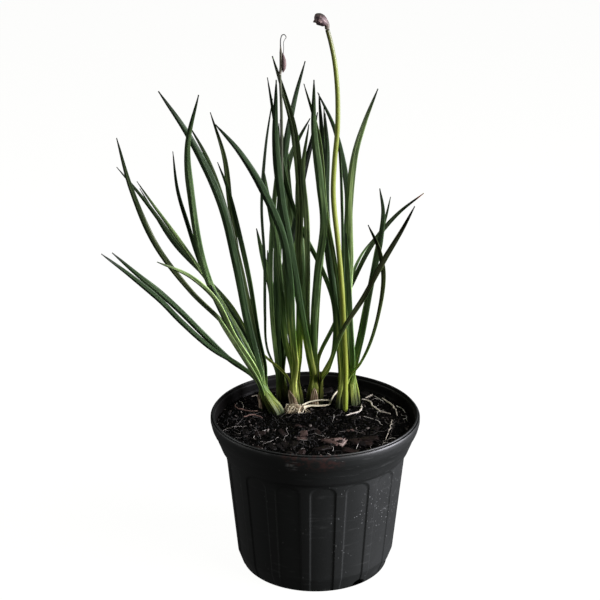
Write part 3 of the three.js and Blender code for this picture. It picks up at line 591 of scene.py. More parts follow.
def smooth_noise(*place):
    """Smooth noise from -1 to 1 at a place."""
    return noise.noise(Vector(place))


# Growth trees


def swept(tree, given, sides, **scale):
    """A round section that knows its own place, swept along the rails."""
    ring = add(tree, "GeometryNodeCurvePrimitiveCircle", {"Resolution": sides, "Radius": 1.0})
    place = add(tree, "GeometryNodeInputPosition")
    ring = add(tree, "GeometryNodeStoreNamedAttribute", {"Geometry": ring, "Name": "section",
        "Value": place}, data_type="FLOAT_VECTOR", domain="POINT")
    rail = add(tree, "GeometryNodeMeshToCurve", {"Mesh": given["Geometry"]})
    return add(tree, "GeometryNodeCurveToMesh", {"Curve": rail, "Profile Curve": ring, "Fill Caps": True,
        **scale})


def named(tree, data_type, *labels):
    """The values stored under some names, by name."""
    return {label: add(tree, "GeometryNodeInputNamedAttribute", {"Name": label}, data_type=data_type)
            for label in labels}


def blade_tree():
    """Strap blades along spines: each section is a lens on an arc, bent by the spine's own values."""
    tree, given = new_tree("Strap blades along spines", [("Middle Thickness", "Float"),
        ("Section Points", "Int"), ("Blade", "Material")])
    value = named(tree, "FLOAT_VECTOR", "spine", "across", "face", "section")
    value |= named(tree, "FLOAT", "half", "bend", "thin")
    body = swept(tree, given, given["Section Points"])
    place, side = add(tree, "SeparateXYZ", (value["section"],), out=slice(2))
    turn = add(tree, "Math MULTIPLY", (value["bend"], place))
    radius = add(tree, "Math DIVIDE", (value["half"], value["bend"]))
    sine = add(tree, "Math SINE", (turn,))
    cosine = add(tree, "Math COSINE", (turn,))
    shift = add(tree, "Math MULTIPLY", (radius, sine))
    rise = add(tree, "Math SUBTRACT", (1.0, cosine))
    rise = add(tree, "Math MULTIPLY", (rise, radius))
    # The blade is folded along its middle, and its foot is rounded as well.
    fold = add(tree, "Math ABSOLUTE", (place,))
    slope = add(tree, "Math SINE", (value["bend"],))
    for factor in (value["half"], slope, 0.6):
        fold = add(tree, "Math MULTIPLY", (fold, factor))
    arc = add(tree, "MapRange", (value["bend"], 0.6, 1.4, 0.2, 0.5))
    rise = add(tree, "Math MULTIPLY_ADD", (rise, arc, fold))
    size = add(tree, "Math ABSOLUTE", (side,))
    size = add(tree, "Math POWER", (size, 0.4))
    way = add(tree, "Math SIGN", (side,))
    for factor in (way, given["Middle Thickness"], value["thin"], 0.5):
        size = add(tree, "Math MULTIPLY", (size, factor))
    # The thickness stands square to the bent blade, so it leans with it by sine and cosine.
    lean = add(tree, "Math MULTIPLY", (size, sine))
    lift = add(tree, "Math MULTIPLY", (size, cosine))
    shift = add(tree, "Math SUBTRACT", (shift, lean))
    rise = add(tree, "Math ADD", (rise, lift))
    wide = add(tree, "VectorMath SCALE", {0: value["across"], "Scale": shift})
    high = add(tree, "VectorMath SCALE", {0: value["face"], "Scale": rise})
    place = add(tree, "VectorMath ADD", (value["spine"], wide))
    place = add(tree, "VectorMath ADD", (place, high))
    body = add(tree, "GeometryNodeSetPosition", {"Geometry": body, "Position": place})
    return end_tree(tree, body, given["Blade"])


def stem_tree():
    """Round bodies along paths: ridged lengthwise and knobbly, each with its own radius."""
    tree, given = new_tree("Round bodies along paths", [("Sides", "Int"), ("Ridges", "Float"),
        ("Ridge Depth", "Float"), ("Knobs", "Float"), ("Knob Size", "Float"), ("Bark", "Material")])
    radius, share = named(tree, "FLOAT", "radius", "share").values()
    section = named(tree, "FLOAT_VECTOR", "section")["section"]
    body = swept(tree, given, given["Sides"], Scale=radius)
    east, north = add(tree, "SeparateXYZ", (section,), out=slice(2))
    angle = add(tree, "Math ARCTAN2", (north, east))
    twisted = add(tree, "Math MULTIPLY_ADD", (share, 1.5, angle))
    wave = add(tree, "Math MULTIPLY", (twisted, given["Ridges"]))
    wave = add(tree, "Math COSINE", (wave,))
    wave = add(tree, "Math MULTIPLY", (wave, given["Ridge Depth"]))
    grain = add(tree, "Math DIVIDE", (1.0, given["Knob Size"]))
    knobs = add(tree, "TexNoise", {"Vector": add(tree, "GeometryNodeInputPosition"), "Scale": grain,
        "Detail": 2.0})
    knobs = add(tree, "Math SUBTRACT", (knobs, 0.5))
    knobs = add(tree, "Math MULTIPLY_ADD", (knobs, given["Knobs"], wave))
    knobs = add(tree, "Math MULTIPLY", (knobs, radius))
    shift = add(tree, "VectorMath SCALE", {0: add(tree, "GeometryNodeInputNormal"), "Scale": knobs})
    body = add(tree, "GeometryNodeSetPosition", {"Geometry": body, "Offset": shift})
    return end_tree(tree, body, given["Bark"])


def crumb_tree():
    """Crumbs strewn over a surface, drawn at random from four irregular lumps."""
    tree, given = new_tree("Crumbs strewn on the mix", [("Density", "Float"), ("Largest", "Float"),
        ("Seed", "Int"), ("Crumb", "Material")])
    lumps = tree.nodes.new("GeometryNodeJoinGeometry")
    for i, (stretch, wild) in enumerate((((1, 0.8, 0.7), 0.9), ((1.3, 0.6, 0.5), 0.8),
                                         ((1.7, 0.5, 0.35), 0.7), ((0.9, 0.9, 0.8), 1.1))):
        lump = add(tree, "GeometryNodeMeshIcoSphere", {"Radius": 1.0, "Subdivisions": 1})
        bumps = add(tree, "TexNoise", {"Vector": add(tree, "GeometryNodeInputPosition"), "W": 3.7 * i,
            "Scale": 1.1}, noise_dimensions="4D")
        bumps = add(tree, "Math SUBTRACT", (bumps, 0.5))
        bumps = add(tree, "Math MULTIPLY_ADD", (bumps, 2 * wild, 1.0))
        shape = add(tree, "VectorMath SCALE", {0: add(tree, "GeometryNodeInputPosition"), "Scale": bumps})
        shape = add(tree, "VectorMath MULTIPLY", (shape, stretch))
        lump = add(tree, "GeometryNodeSetPosition", {"Geometry": lump, "Position": shape})
        lump = add(tree, "GeometryNodeGeometryToInstance", {"Geometry": lump})
        tree.links.new(lump, lumps.inputs[0])
    spots = add(tree, "GeometryNodeDistributePointsOnFaces", {"Mesh": given["Geometry"],
        "Density": given["Density"], "Seed": given["Seed"]})
    size = add(tree, "FunctionNodeRandomValue", {2: 0.0, 3: 1.0, "Seed": 3}, out=1, data_type="FLOAT")
    size = add(tree, "Math POWER", (size, 2.6))
    size = add(tree, "Math MULTIPLY_ADD", (size, 0.8, 0.2))
    size = add(tree, "Math MULTIPLY", (size, given["Largest"]))
    turn = add(tree, "FunctionNodeRandomValue", {1: (6.28, 6.28, 6.28), "Seed": 5},
        data_type="FLOAT_VECTOR")
    strewn = add(tree, "GeometryNodeInstanceOnPoints", {"Points": spots, "Instance": lumps.outputs[0],
        "Pick Instance": True, "Rotation": turn, "Scale": size})
    tint = add(tree, "FunctionNodeRandomValue", {2: 0.0, 3: 1.0, "Seed": 9}, out=1, data_type="FLOAT")
    strewn = add(tree, "GeometryNodeStoreNamedAttribute", {"Geometry": strewn, "Name": "tint",
        "Value": tint}, data_type="FLOAT", domain="INSTANCE")
    return end_tree(tree, strewn, given["Crumb"])


def tubes(name, paths, material, sides=12, ridges=0, depth=0.0, knobs=0.0, knob_size=0.004):
    """Grows round bodies along paths. Each path is its points and radii in mm, and a tint."""
    points, edges = [], []
    values = {"radius": [], "share": [], "tint": []}
    for line, radii, tint in paths:
        start = len(points)
        edges += [(start + j, start + j + 1) for j in range(len(line) - 1)]
        points += list(line)
        values["radius"] += list(np.asarray(radii) * MM)
        values["share"] += list(np.linspace(0, 1, len(line)))
        values["tint"] += [tint] * len(line)
    rails = mesh_object(name + "_paths", points, [], edges=edges, smooth=False, **values)
    body = grown(name, rails, stem_tree(), {"Sides": sides, "Ridges": float(ridges), "Ridge Depth": depth,
        "Knobs": knobs, "Knob Size": knob_size, "Bark": material})
    return faced_outwards(body)


# Materials


def surface(name):
    """A new material, its empty node tree, and the place on the object."""
    material = bpy.data.materials.new(name)
    material.use_nodes = True
    tree = material.node_tree
    tree.nodes.clear()
    return material, tree, add(tree, "TexCoord", out="Object")


def near(tree, where, *spots):
    """Soft spots on a surface: 1 at each place in millimetres, and 0 at its reach."""
    found = None
    for place, reach in spots:
        away = add(tree, "VectorMath DISTANCE", (where, tuple(c * MM for c in place)), out=1)
        spot = add(tree, "MapRange", (away, reach * MM, reach * 0.4 * MM))
        found = add(tree, "Math MAXIMUM", (found, spot)) if found else spot
    return found


def moulded_plastic(sizes):
    """Black polypropylene, injection moulded: satin, faintly grained, with scuffs and dried splashes."""
    material, tree, where = surface("moulded_black_polypropylene")
    cloud, grain, rare, smear = (add(tree, "TexNoise", {"Vector": where, "Scale": scale, "Detail": detail})
        for scale, detail in ((22.0, 3.0), (900.0, 2.0), (60.0, 1.0), (260.0, 3.0)))
    # Water splashes dry as specks of a third of a millimetre to one, thick on the wall's right side.
    splashed = near(tree, where, ((60, -46, 73), 32), ((44, -61, 78), 20), ((21, -69, 40), 16))
    rare = add(tree, "MapRange", (rare, 0.56, 0.72, 0.0, 0.55))
    splashed = add(tree, "Math MAXIMUM", (splashed, rare))
    away, chosen = add(tree, "TexVoronoi", {"Vector": where, "Scale": 470.0}, out=slice(2))
    lot, bulk = add(tree, "SeparateColor", (chosen,), out=slice(2))
    chance = add(tree, "Math MULTIPLY", (splashed, 0.62))
    chance = add(tree, "Math LESS_THAN", (lot, chance))
    size = add(tree, "Math MULTIPLY_ADD", (bulk, 0.15, 0.08))
    fleck = add(tree, "Math LESS_THAN", (away, size))
    for factor in (chance, 0.42):
        fleck = add(tree, "Math MULTIPLY", (fleck, factor))
    # Scuffs are short rubbed streaks that run round the wall, and two lie under the lip in front.
    flat = add(tree, "Mapping", {"Vector": where, "Scale": (60.0, 60.0, 420.0)})
    rub = add(tree, "TexNoise", {"Vector": flat, "Scale": 1.0, "Detail": 4.0})
    rubbed = add(tree, "MapRange", (rub, 0.6, 0.8, 0.0, 0.08))
    knocked = near(tree, where, ((-20, -87, 129), 6), ((-20, -88, 136), 6))
    knock = add(tree, "MapRange", (rub, 0.5, 0.62, 0.0, 0.5))
    knocked = add(tree, "Math MULTIPLY", (knocked, knock))
    worn = add(tree, "Math MAXIMUM", (fleck, rubbed))
    worn = add(tree, "Math MAXIMUM", (worn, knocked))
    # Brown-red mix has been smeared on the lip in front.
    dirt = near(tree, where, ((-15, -89, 138), 18), ((8, -90, 138), 18))
    smear = add(tree, "MapRange", (smear, 0.48, 0.6))
    dirt = add(tree, "Math MULTIPLY", (dirt, smear))
    # The inside, where the wall faces the pot's axis, is darker and less glossy.
    inward = add(tree, "VectorMath MULTIPLY", (where, (1.0, 1.0, 0.0)))
    normal = add(tree, "NewGeometry", out="Normal")
    inward = add(tree, "VectorMath DOT_PRODUCT", (inward, normal), out=1)
    inward = add(tree, "MapRange", (inward, -0.04, -0.075))
    base = tuple(c * 0.72 for c in sizes.plastic) + (1,)
    for share, shade in ((cloud, tuple(sizes.plastic) + (1,)), (worn, tuple(sizes.scuff) + (1,)),
                         (dirt, linear("#2c1a17")), (inward, linear("#090808"))):
        base = add(tree, "Mix", {0: share, 6: base, 7: shade}, out=2, data_type="RGBA")
    gloss = add(tree, "MapRange", (inward, 0.0, 1.0, 0.5, 0.1))
    rough = add(tree, "MapRange", (cloud, 0.0, 1.0, 0.42, 0.54))
    rough = add(tree, "Math MULTIPLY_ADD", (worn, 0.4, rough))
    relief = add(tree, "Bump", {"Height": grain, "Distance": 0.00006, "Strength": 0.6})
    shader = add(tree, "BsdfPrincipled", {"Base Color": base, "Roughness": rough,
        "Specular IOR Level": gloss, "IOR": 1.49, "Normal": relief})
    add(tree, "OutputMaterial", {"Surface": shader})
    return material


def damp_peat(sizes):
    """Damp peat with fine bark: black-brown, rough, with small grey and brown flecks."""
    material, tree, where = surface("damp_peat")
    patch, fine, relief = (add(tree, "TexNoise", {"Vector": where, "Scale": scale, "Detail": detail})
        for scale, detail in ((110.0, 5.0), (1400.0, 3.0), (330.0, 6.0)))
    base = tuple(sizes.peat) + (1,)
    brown = add(tree, "ValToRGB", {"Fac": patch}, stops=[(0.0, "#000000"), (0.8, "#110c0b"),
        (0.45, "#020101"), (0.62, "#050404")])
    fleck = add(tree, "MapRange", (fine, 0.685, 0.73))
    for share, shade in ((0.7, brown), (fleck, linear("#6b635e"))):
        base = add(tree, "Mix", {0: share, 6: base, 7: shade}, out=2, data_type="RGBA")
    relief = add(tree, "Bump", {"Height": relief, "Distance": 0.0016, "Strength": 1.0})
    shader = add(tree, "BsdfPrincipled", {"Base Color": base, "Roughness": 0.5, "Specular IOR Level": 0.05,
        "Normal": relief})
    add(tree, "OutputMaterial", {"Surface": shader})
    return material


def crumb_stuff(name, stops, roughness, gloss):
    """Crumbs and flakes: each takes its own shade from its tint, mottled by a fine grain."""
    material, tree, where = surface(name)
    tint = add(tree, "Attribute", out="Fac", attribute_name="tint")
    mottle = add(tree, "TexNoise", {"Vector": where, "Scale": 520.0, "Detail": 4.0})
    shade = add(tree, "Math MULTIPLY_ADD", (mottle, 0.36, tint))
    shade = add(tree, "Math SUBTRACT", (shade, 0.18))
    base = add(tree, "ValToRGB", {"Fac": shade}, stops=stops)
    relief = add(tree, "Bump", {"Height": mottle, "Distance": 0.0006, "Strength": 0.8})
    shader = add(tree, "BsdfPrincipled", {"Base Color": base, "Roughness": roughness,
        "Specular IOR Level": gloss, "Normal": relief})
    add(tree, "OutputMaterial", {"Surface": shader})
    return material


def living_leaf(sizes):
    """A fleshy strap leaf: satin cuticle, fine parallel veins, cream to yellow-green at its base."""
    material, tree, where = surface("living_leaf")
    value = {label: add(tree, "Attribute", out="Fac", attribute_name=label)
             for label in ("tint", "reach", "share", "breadth", "dry", "age")}
    section = add(tree, "Attribute", out="Vector", attribute_name="section")
    place, side = add(tree, "SeparateXYZ", (section,), out=slice(2))
    # Millimetres across the blade from its middle line.
    offset = add(tree, "Math MULTIPLY", (place, value["breadth"]))
    wave = add(tree, "Math MULTIPLY", (offset, 2 * math.pi / (sizes.vein / MM)))
    vein = add(tree, "Math COSINE", (wave,))
    cloud = add(tree, "TexNoise", {"Vector": where, "Scale": 26.0, "Detail": 4.0})
    # Streaks two millimetres wide and a few centimetres long run along the blade, partly its own and partly
    # painted light and shade.
    along = add(tree, "Math MULTIPLY", (value["reach"], 0.035))
    apart = add(tree, "Math MULTIPLY", (value["tint"], 37.0))
    course = add(tree, "CombineXYZ", (offset, along, apart))
    streak = add(tree, "TexNoise", {"Vector": course, "Scale": 0.65, "Detail": 3.0})
    blade = tuple(sizes.blade) + (1,)
    shade = add(tree, "Math MULTIPLY_ADD", (cloud, 0.5, value["tint"]))
    shade = add(tree, "Math SUBTRACT", (shade, 0.25))
    greens = add(tree, "ValToRGB", {"Fac": shade}, stops=[(0.0, "#080d06"), (1.0, "#7f925a"),
        (0.4, "#23321c"), (0.72, "#4f643b")])
    green = add(tree, "Mix", {0: 0.88, 6: blade, 7: greens}, out=2, data_type="RGBA")
    # Painted light and shade in part: the streaks make a blade's green from a fifth as bright to nearly twice
    # as bright.
    lit = add(tree, "MapRange", (streak, 0.35, 0.67, 0.2, 1.7))
    lit = add(tree, "Math MULTIPLY_ADD", (vein, 0.08, lit))
    # Some leaves are older and duller, towards olive.
    dull = add(tree, "Math MULTIPLY", (value["tint"], 7.3))
    dull = add(tree, "Math FRACT", (dull,))
    dull = add(tree, "MapRange", (dull, 0.55, 1.0, 0.0, 0.6))
    green = add(tree, "Mix", {0: dull, 6: green, 7: linear("#4b4d2e")}, out=2, data_type="RGBA")
    # Painted light and shade by height: a blade is painted brighter low in the clump and darker towards its
    # tip.
    painted_height_light = add(tree, "MapRange", (value["reach"], 80.0, 260.0, 2.1, 0.5))
    painted_height_light = add(tree, "Math MULTIPLY", (painted_height_light, lit))
    green = add(tree, "VectorMath SCALE", {0: green, "Scale": painted_height_light})
    # From cream at the mix through yellow-green to the blade's own green, 9 cm up.
    low = add(tree, "Math MULTIPLY_ADD", (cloud, 26.0, value["reach"]))
    low = add(tree, "Math SUBTRACT", (low, 13.0))
    # An older leaf turns green sooner.
    low = add(tree, "Math MULTIPLY", (low, value["age"]))
    base = add(tree, "MapRange", (low, 0.0, 90.0))
    pale = add(tree, "ValToRGB", {"Fac": base}, stops=[(0.0, "#8a7f5b"), (1.0, "#3a5230"),
        (0.05, "#7c793c"), (0.12, "#72782c"), (0.3, "#5f7127"), (0.55, "#45622a")])
    # Lemon streaks, most of them on the young shoots.
    young = add(tree, "MapRange", (value["age"], 1.1, 0.5, 0.06, 0.8))
    low_down = add(tree, "MapRange", (base, 0.7, 0.25))
    young = add(tree, "Math MULTIPLY", (young, low_down))
    lemon = add(tree, "MapRange", (streak, 0.5, 0.64, 0.0, young))
    pale = add(tree, "Mix", {0: lemon, 6: pale, 7: linear("#c9cf74")}, out=2, data_type="RGBA")
    fresh = add(tree, "MapRange", (value["age"], 1.3, 0.5, 1.1, 1.75))
    # The streaks are fainter there, and the foot is darker where the mix shades it.
    faint = add(tree, "Math MULTIPLY_ADD", (lit, 0.6, 0.4))
    buried = add(tree, "MapRange", (value["reach"], 6.0, 36.0, 0.55, 1.0))
    for factor in (faint, buried):
        fresh = add(tree, "Math MULTIPLY", (fresh, factor))
    pale = add(tree, "VectorMath SCALE", {0: pale, "Scale": fresh})
    # Mix clings to the foot.
    soiled = add(tree, "Math MULTIPLY_ADD", (streak, 16.0, value["reach"]))
    soiled = add(tree, "MapRange", (soiled, 19.0, 10.0, 0.0, 0.92))
    pale = add(tree, "Mix", {0: soiled, 6: pale, 7: linear("#1d1510")}, out=2, data_type="RGBA")
    grown_up = add(tree, "MapRange", (low, 26.0, 92.0), interpolation_type="SMOOTHSTEP")
    # The underside is duller and greyer.
    under = add(tree, "MapRange", (side, 0.1, -0.4, 0.0, 0.28))
    # Each tip darkens over its last two centimetres.
    dark = add(tree, "MapRange", (value["share"], 0.88, 0.985, 0.0, 0.9))
    # A dry tip, on the leaves that have one.
    tip = add(tree, "Math ADD", (value["share"], value["dry"]))
    tip = add(tree, "MapRange", (tip, 0.985, 1.01))
    base = pale
    for share, shade in ((grown_up, green), (under, linear("#4a5f42")), (dark, linear("#0d130b")),
                         (tip, linear("#7a4a33"))):
        base = add(tree, "Mix", {0: share, 6: base, 7: shade}, out=2, data_type="RGBA")
    rough = add(tree, "MapRange", (cloud, 0.0, 1.0, 0.34, 0.5))
    height = add(tree, "Math MULTIPLY_ADD", (vein, 0.5, streak))
    relief = add(tree, "Bump", {"Height": height, "Distance": 0.0001, "Strength": 0.8})
    # The dark streaks are dull, and the pale ones have a satin gloss.
    gloss = add(tree, "MapRange", (streak, 0.4, 0.64, 0.03, 0.52))
    satin = add(tree, "Math MULTIPLY_ADD", (grown_up, 0.45, 0.55))
    worn = add(tree, "MapRange", (value["reach"], 130.0, 270.0, 1.0, 0.62))
    for factor in (satin, worn):
        gloss = add(tree, "Math MULTIPLY", (gloss, factor))
    shader = add(tree, "BsdfPrincipled", {"Base Color": base, "Roughness": rough,
        "Specular IOR Level": gloss, "IOR": 1.42, "Subsurface Weight": 0.08,
        "Subsurface Radius": (0.001, 0.0018, 0.0005), "Subsurface Scale": 1.0, "Normal": relief})
    add(tree, "OutputMaterial", {"Surface": shader})
    return material


def fibrous(name):
    """A fibrous skin of the table, with a shade for each piece from its tint."""
    roughness, grain, depth, stops = SKINS[name]
    material, tree, where = surface(name)
    tint = add(tree, "Attribute", out="Fac", attribute_name="tint")
    streak = add(tree, "Mapping", {"Vector": where, "Scale": grain})
    streak = add(tree, "TexNoise", {"Vector": streak, "Scale": 1.0, "Detail": 5.0})
    cloud = add(tree, "TexNoise", {"Vector": where, "Scale": 180.0, "Detail": 3.0})
    shade = add(tree, "Math MULTIPLY_ADD", (streak, 0.7, tint))
    shade = add(tree, "Math MULTIPLY_ADD", (cloud, 0.5, shade))
    shade = add(tree, "Math SUBTRACT", (shade, 0.6))
    base = add(tree, "ValToRGB", {"Fac": shade}, stops=stops)
    relief = add(tree, "Bump", {"Height": streak, "Distance": depth * MM, "Strength": 0.9})
    shader = add(tree, "BsdfPrincipled", {"Base Color": base, "Roughness": roughness, "Normal": relief})
    add(tree, "OutputMaterial", {"Surface": shader})
    return material


def bud_sheath():
    """The papery sheath of the bud: mauve-pink, veined lengthwise, weathered to grey-green on top."""
    material, tree, where = surface("bud_sheath")
    section = add(tree, "Attribute", out="Vector", attribute_name="section")
    share = add(tree, "Attribute", out="Fac", attribute_name="share")
    east, north = add(tree, "SeparateXYZ", (section,), out=slice(2))
    vein = add(tree, "CombineXYZ", (east, north, share))
    vein = add(tree, "TexNoise", {"Vector": vein, "Scale": 4.5, "Detail": 4.0})
    patch = add(tree, "TexNoise", {"Vector": where, "Scale": 260.0, "Detail": 3.0})
    shade = add(tree, "Math MULTIPLY_ADD", (patch, 0.6, vein))
    shade = add(tree, "Math SUBTRACT", (shade, 0.3))
    base = add(tree, "ValToRGB", {"Fac": shade}, stops=[(0.3, "#1d1417"), (0.72, "#9c8784"),
        (0.44, "#3d2b30"), (0.56, "#5e4848")])
    upward = add(tree, "SeparateXYZ", (add(tree, "NewGeometry", out="Normal"),), out=2)
    sky = add(tree, "MapRange", (upward, 0.45, 0.9, 0.0, 0.85))
    # Tan where it joins the stem.
    joint = add(tree, "MapRange", (share, 0.22, 0.05, 0.0, 0.7))
    for part, shade in ((sky, linear("#22241c")), (joint, linear("#4a4530"))):
        base = add(tree, "Mix", {0: part, 6: base, 7: shade}, out=2, data_type="RGBA")
    relief = add(tree, "Bump", {"Height": vein, "Distance": 0.0004, "Strength": 0.9})
    shader = add(tree, "BsdfPrincipled", {"Base Color": base, "Roughness": 0.6, "Normal": relief})
    add(tree, "OutputMaterial", {"Surface": shader})
    return material


def green_stem():
    """A fresh flower stem: smooth, satin, yellow-green, and olive just under the bud."""
    material, tree, where = surface("fresh_flower_stem")
    share = add(tree, "Attribute", out="Fac", attribute_name="share")
    along = add(tree, "ValToRGB", {"Fac": share}, stops=[(0.0, "#74802f"), (1.0, "#494b2c"),
        (0.3, "#737b2e"), (0.85, "#687131"), (0.95, "#585c2f")])
    streak = add(tree, "Mapping", {"Vector": where, "Scale": (1300.0, 1300.0, 40.0)})
    streak = add(tree, "TexNoise", {"Vector": streak, "Scale": 1.0, "Detail": 3.0})
    lit = add(tree, "MapRange", (streak, 0.0, 1.0, 0.8, 1.2))
    colour = add(tree, "VectorMath SCALE", {0: along, "Scale": lit})
    relief = add(tree, "Bump", {"Height": streak, "Distance": 0.00012, "Strength": 0.6})
    shader = add(tree, "BsdfPrincipled", {"Base Color": colour, "Roughness": 0.4, "IOR": 1.42,
        "Subsurface Weight": 0.08, "Subsurface Radius": (0.001, 0.0018, 0.0005), "Subsurface Scale": 1.0,
        "Normal": relief})
    add(tree, "OutputMaterial", {"Surface": shader})
    return material


# Nursery pot


def rounded(profile, size, parts=4):
    """A profile with each inner corner drawn as a small curve."""
    profile = [np.asarray(p, float) for p in profile]
    points = [profile[0]]
    for before, corner, after in zip(profile, profile[1:], profile[2:]):
        reach = min(size, np.linalg.norm(corner - before) * 0.45, np.linalg.norm(after - corner) * 0.45)
        start = corner + (before - corner) / np.linalg.norm(before - corner) * reach
        end = corner + (after - corner) / np.linalg.norm(after - corner) * reach
        for t in np.linspace(0, 1, parts + 1):
            points.append(start * (1 - t) ** 2 + corner * 2 * t * (1 - t) + end * t ** 2)
    return points + [profile[-1]]


def outside_radius(height):
    """Radius of the pot's outside at a height."""
    radii, heights = zip(*OUTSIDE)
    return float(np.interp(height, heights, radii))


def pot_profile():
    """Radius and height of the wall, row by row: first the outside with its lip, then the inside."""
    foot = rounded([(59, 0)] + OUTSIDE[:3], 1.5)[:-1]
    heights = np.concatenate([np.arange(18, 92, 7.5), np.arange(93, 105.3, 0.6)])
    wall = [(outside_radius(z), z) for z in heights]
    step = rounded([wall[-1], OUTSIDE[2], OUTSIDE[3], (outside_radius(BAND_FOOT), BAND_FOOT)], 0.9)[1:]
    band = []
    for z in np.arange(112.8, 133.6, 0.65):
        # Two faint rings run round the band.
        ring = 0.16 * sum(math.exp(-((z - level) / 0.6) ** 2) for level in BAND_RINGS)
        band.append((np.mean([outside_radius(z + d) for d in (-1.6, -0.8, 0, 0.8, 1.6)]) + ring, z))
    outside = foot + wall + step + band + LIP
    inside = rounded([LIP[-1]] + INSIDE[2:] + [(58, FLOOR_TOP)], 1.2)[1:]
    return [tuple(row) for row in outside], [tuple(row) for row in inside]


def panel_inset(angles, pitch, height, depth):
    """How far the wall lies back at each angle, inside the round-topped panels."""
    turn = (np.degrees(angles) - FIRST_PANEL + pitch / 2) % pitch - pitch / 2
    x = np.abs(outside_radius(height) * np.sin(np.radians(turn)))
    straight = PANEL_TOP - PANEL_HALF * PANEL_ARCH
    half = PANEL_HALF * lerp(0.92, 1, np.clip((height - PANEL_BOTTOM) / (straight - PANEL_BOTTOM), 0, 1))
    inside = half - x
    if height > straight:
        reach = np.sqrt((x / PANEL_HALF) ** 2 + ((height - straight) / (PANEL_HALF * PANEL_ARCH)) ** 2)
        inside = np.minimum(inside, (1 - reach) * 8)
    return depth * smoothstep(inside, -0.4, 1.5)


def drain_cutters():
    """Round bars through the foot's edge, that cut the drain notches."""
    cutters = []
    for i in range(DRAINS):
        turn = math.radians(FIRST_DRAIN + i * 360 / DRAINS)
        points = []
        for reach in (57.8, 73):
            for j in range(28):
                angle = 2 * math.pi * j / 28
                x, z = DRAIN_RADIUS * math.cos(angle), DRAIN_RADIUS * math.sin(angle)
                points.append((x * math.cos(turn) + reach * math.sin(turn),
                               x * math.sin(turn) - reach * math.cos(turn), z))
        faces = grid_faces(2, 28) + [tuple(range(27, -1, -1)), tuple(range(28, 56))]
        cutters.append(mesh_object("drain_cutter", points, faces, smooth=False))
    return faced_outwards(joined("drain_cutter", cutters))


def build_pot(sizes):
    """The pot in one body: outside, lip, inside and floor, with its notches cut."""
    pitch = 360 / sizes.panels
    # A panel's columns over 22.5 degrees, set close where its edges lie.
    sector = np.concatenate([np.linspace(low, high, count)[:-1] for low, high, count in (
        (-11.25, -9.2, 4), (-9.2, -7.3, 12), (-7.3, 7.3, 21), (7.3, 9.2, 12), (9.2, 11.25, 4))])
    angles = np.radians((FIRST_PANEL + pitch * np.arange(sizes.panels)[:, None]
        + sector * pitch / 22.5).ravel())
    outside, inside = pot_profile()
    rows = outside + inside
    points = []
    for i, (radius, height) in enumerate(rows):
        reach = np.full(len(angles), radius)
        if i < len(outside) and height < PANEL_TOP:
            cut = outside_radius(height) - panel_inset(angles, pitch, height, sizes.panel_depth / MM)
            reach = np.minimum(reach, cut)
        points.append(np.stack([reach * np.sin(angles), -reach * np.cos(angles),
            np.full(len(angles), height)], axis=1))
    columns = len(angles)
    points = np.concatenate(points)
    points[:, 2] *= sizes.height / MM / POT_HEIGHT
    faces = grid_faces(len(rows), columns)
    last = (len(rows) - 1) * columns
    foot, floor = len(points), len(points) + 1
    points = np.vstack([points, (0, 0, 0), (0, 0, FLOOR_TOP)])
    for j in range(columns):
        k = (j + 1) % columns
        faces.append((foot, k, j))
        faces.append((floor, last + j, last + k))
    pot = faced_outwards(mesh_object("nursery_pot", points, faces))
    cutter = drain_cutters()
    cut = pot.modifiers.new("Drains", "BOOLEAN")
    cut.object = cutter
    cut.solver = "MANIFOLD"
    evaluated = pot.evaluated_get(bpy.context.evaluated_depsgraph_get())
    mesh = bpy.data.meshes.new_from_object(evaluated)
    pot.modifiers.clear()
    pot.data = mesh
    bpy.data.objects.remove(cutter)
    mesh.materials.clear()
    mesh.materials.append(moulded_plastic(sizes))
    mesh.polygons.foreach_set("material_index", [0] * len(mesh.polygons))
    shade_by_angle(pot, 40)
    return finished(pot, "black_plastic", "pot")


def shade_by_angle(piece, degrees):
    """Smooth faces, with an edge kept sharp where two faces meet at more than the angle."""
    limit = math.radians(degrees)
    with opened(piece) as work:
        for face in work.faces:
            face.smooth = True
        for edge in work.edges:
            edge.smooth = len(edge.link_faces) != 2 or edge.calc_face_angle(0) < limit


# Potting mix


def lumpy(x, y):
    """Height of the mix with its swells and its clods, in mm."""
    broad = noise.fractal(Vector((x / 9, y / 9, 3.1)), 1.0, 2.0, 3)
    clods = noise.fractal(Vector((x / 3.2, y / 3.2, 8.7)), 0.9, 2.1, 3)
    edge = float(smoothstep(SOIL_RADIUS - math.hypot(x, y), 0, 3))
    return soil_height(x, y) + edge * (1.2 * broad + 1.05 * clods - 0.45)


def build_bed(sizes):
    """The mix: a clodded surface, sides just clear of the pot and a flat underside."""
    columns = 300
    angles = np.linspace(0, 2 * math.pi, columns, endpoint=False)
    radii = SOIL_RADIUS * (np.arange(1, 89) / 88) ** 0.85
    points = [(0, 0, lumpy(0, 0))]
    for radius in radii:
        for angle in angles:
            x, y = radius * math.cos(angle), radius * math.sin(angle)
            points.append((x, y, lumpy(x, y)))
    side = [(radius - 0.45, height + 0.35) for radius, height in INSIDE[4:]]
    for radius, height in side:
        points += [(radius * math.cos(a), radius * math.sin(a), height) for a in angles]
    rows = len(radii) + len(side)
    faces = [tuple(i + 1 for i in face) for face in grid_faces(rows, columns)]
    faces += [(0, 1 + j, 1 + (j + 1) % columns) for j in range(columns)]
    foot = len(points)
    points.append((0, 0, side[-1][1]))
    last = 1 + (rows - 1) * columns
    faces += [(foot, last + (j + 1) % columns, last + j) for j in range(columns)]
    return faced_outwards(mesh_object("potting_mix_bed", points, faces, damp_peat(sizes)))


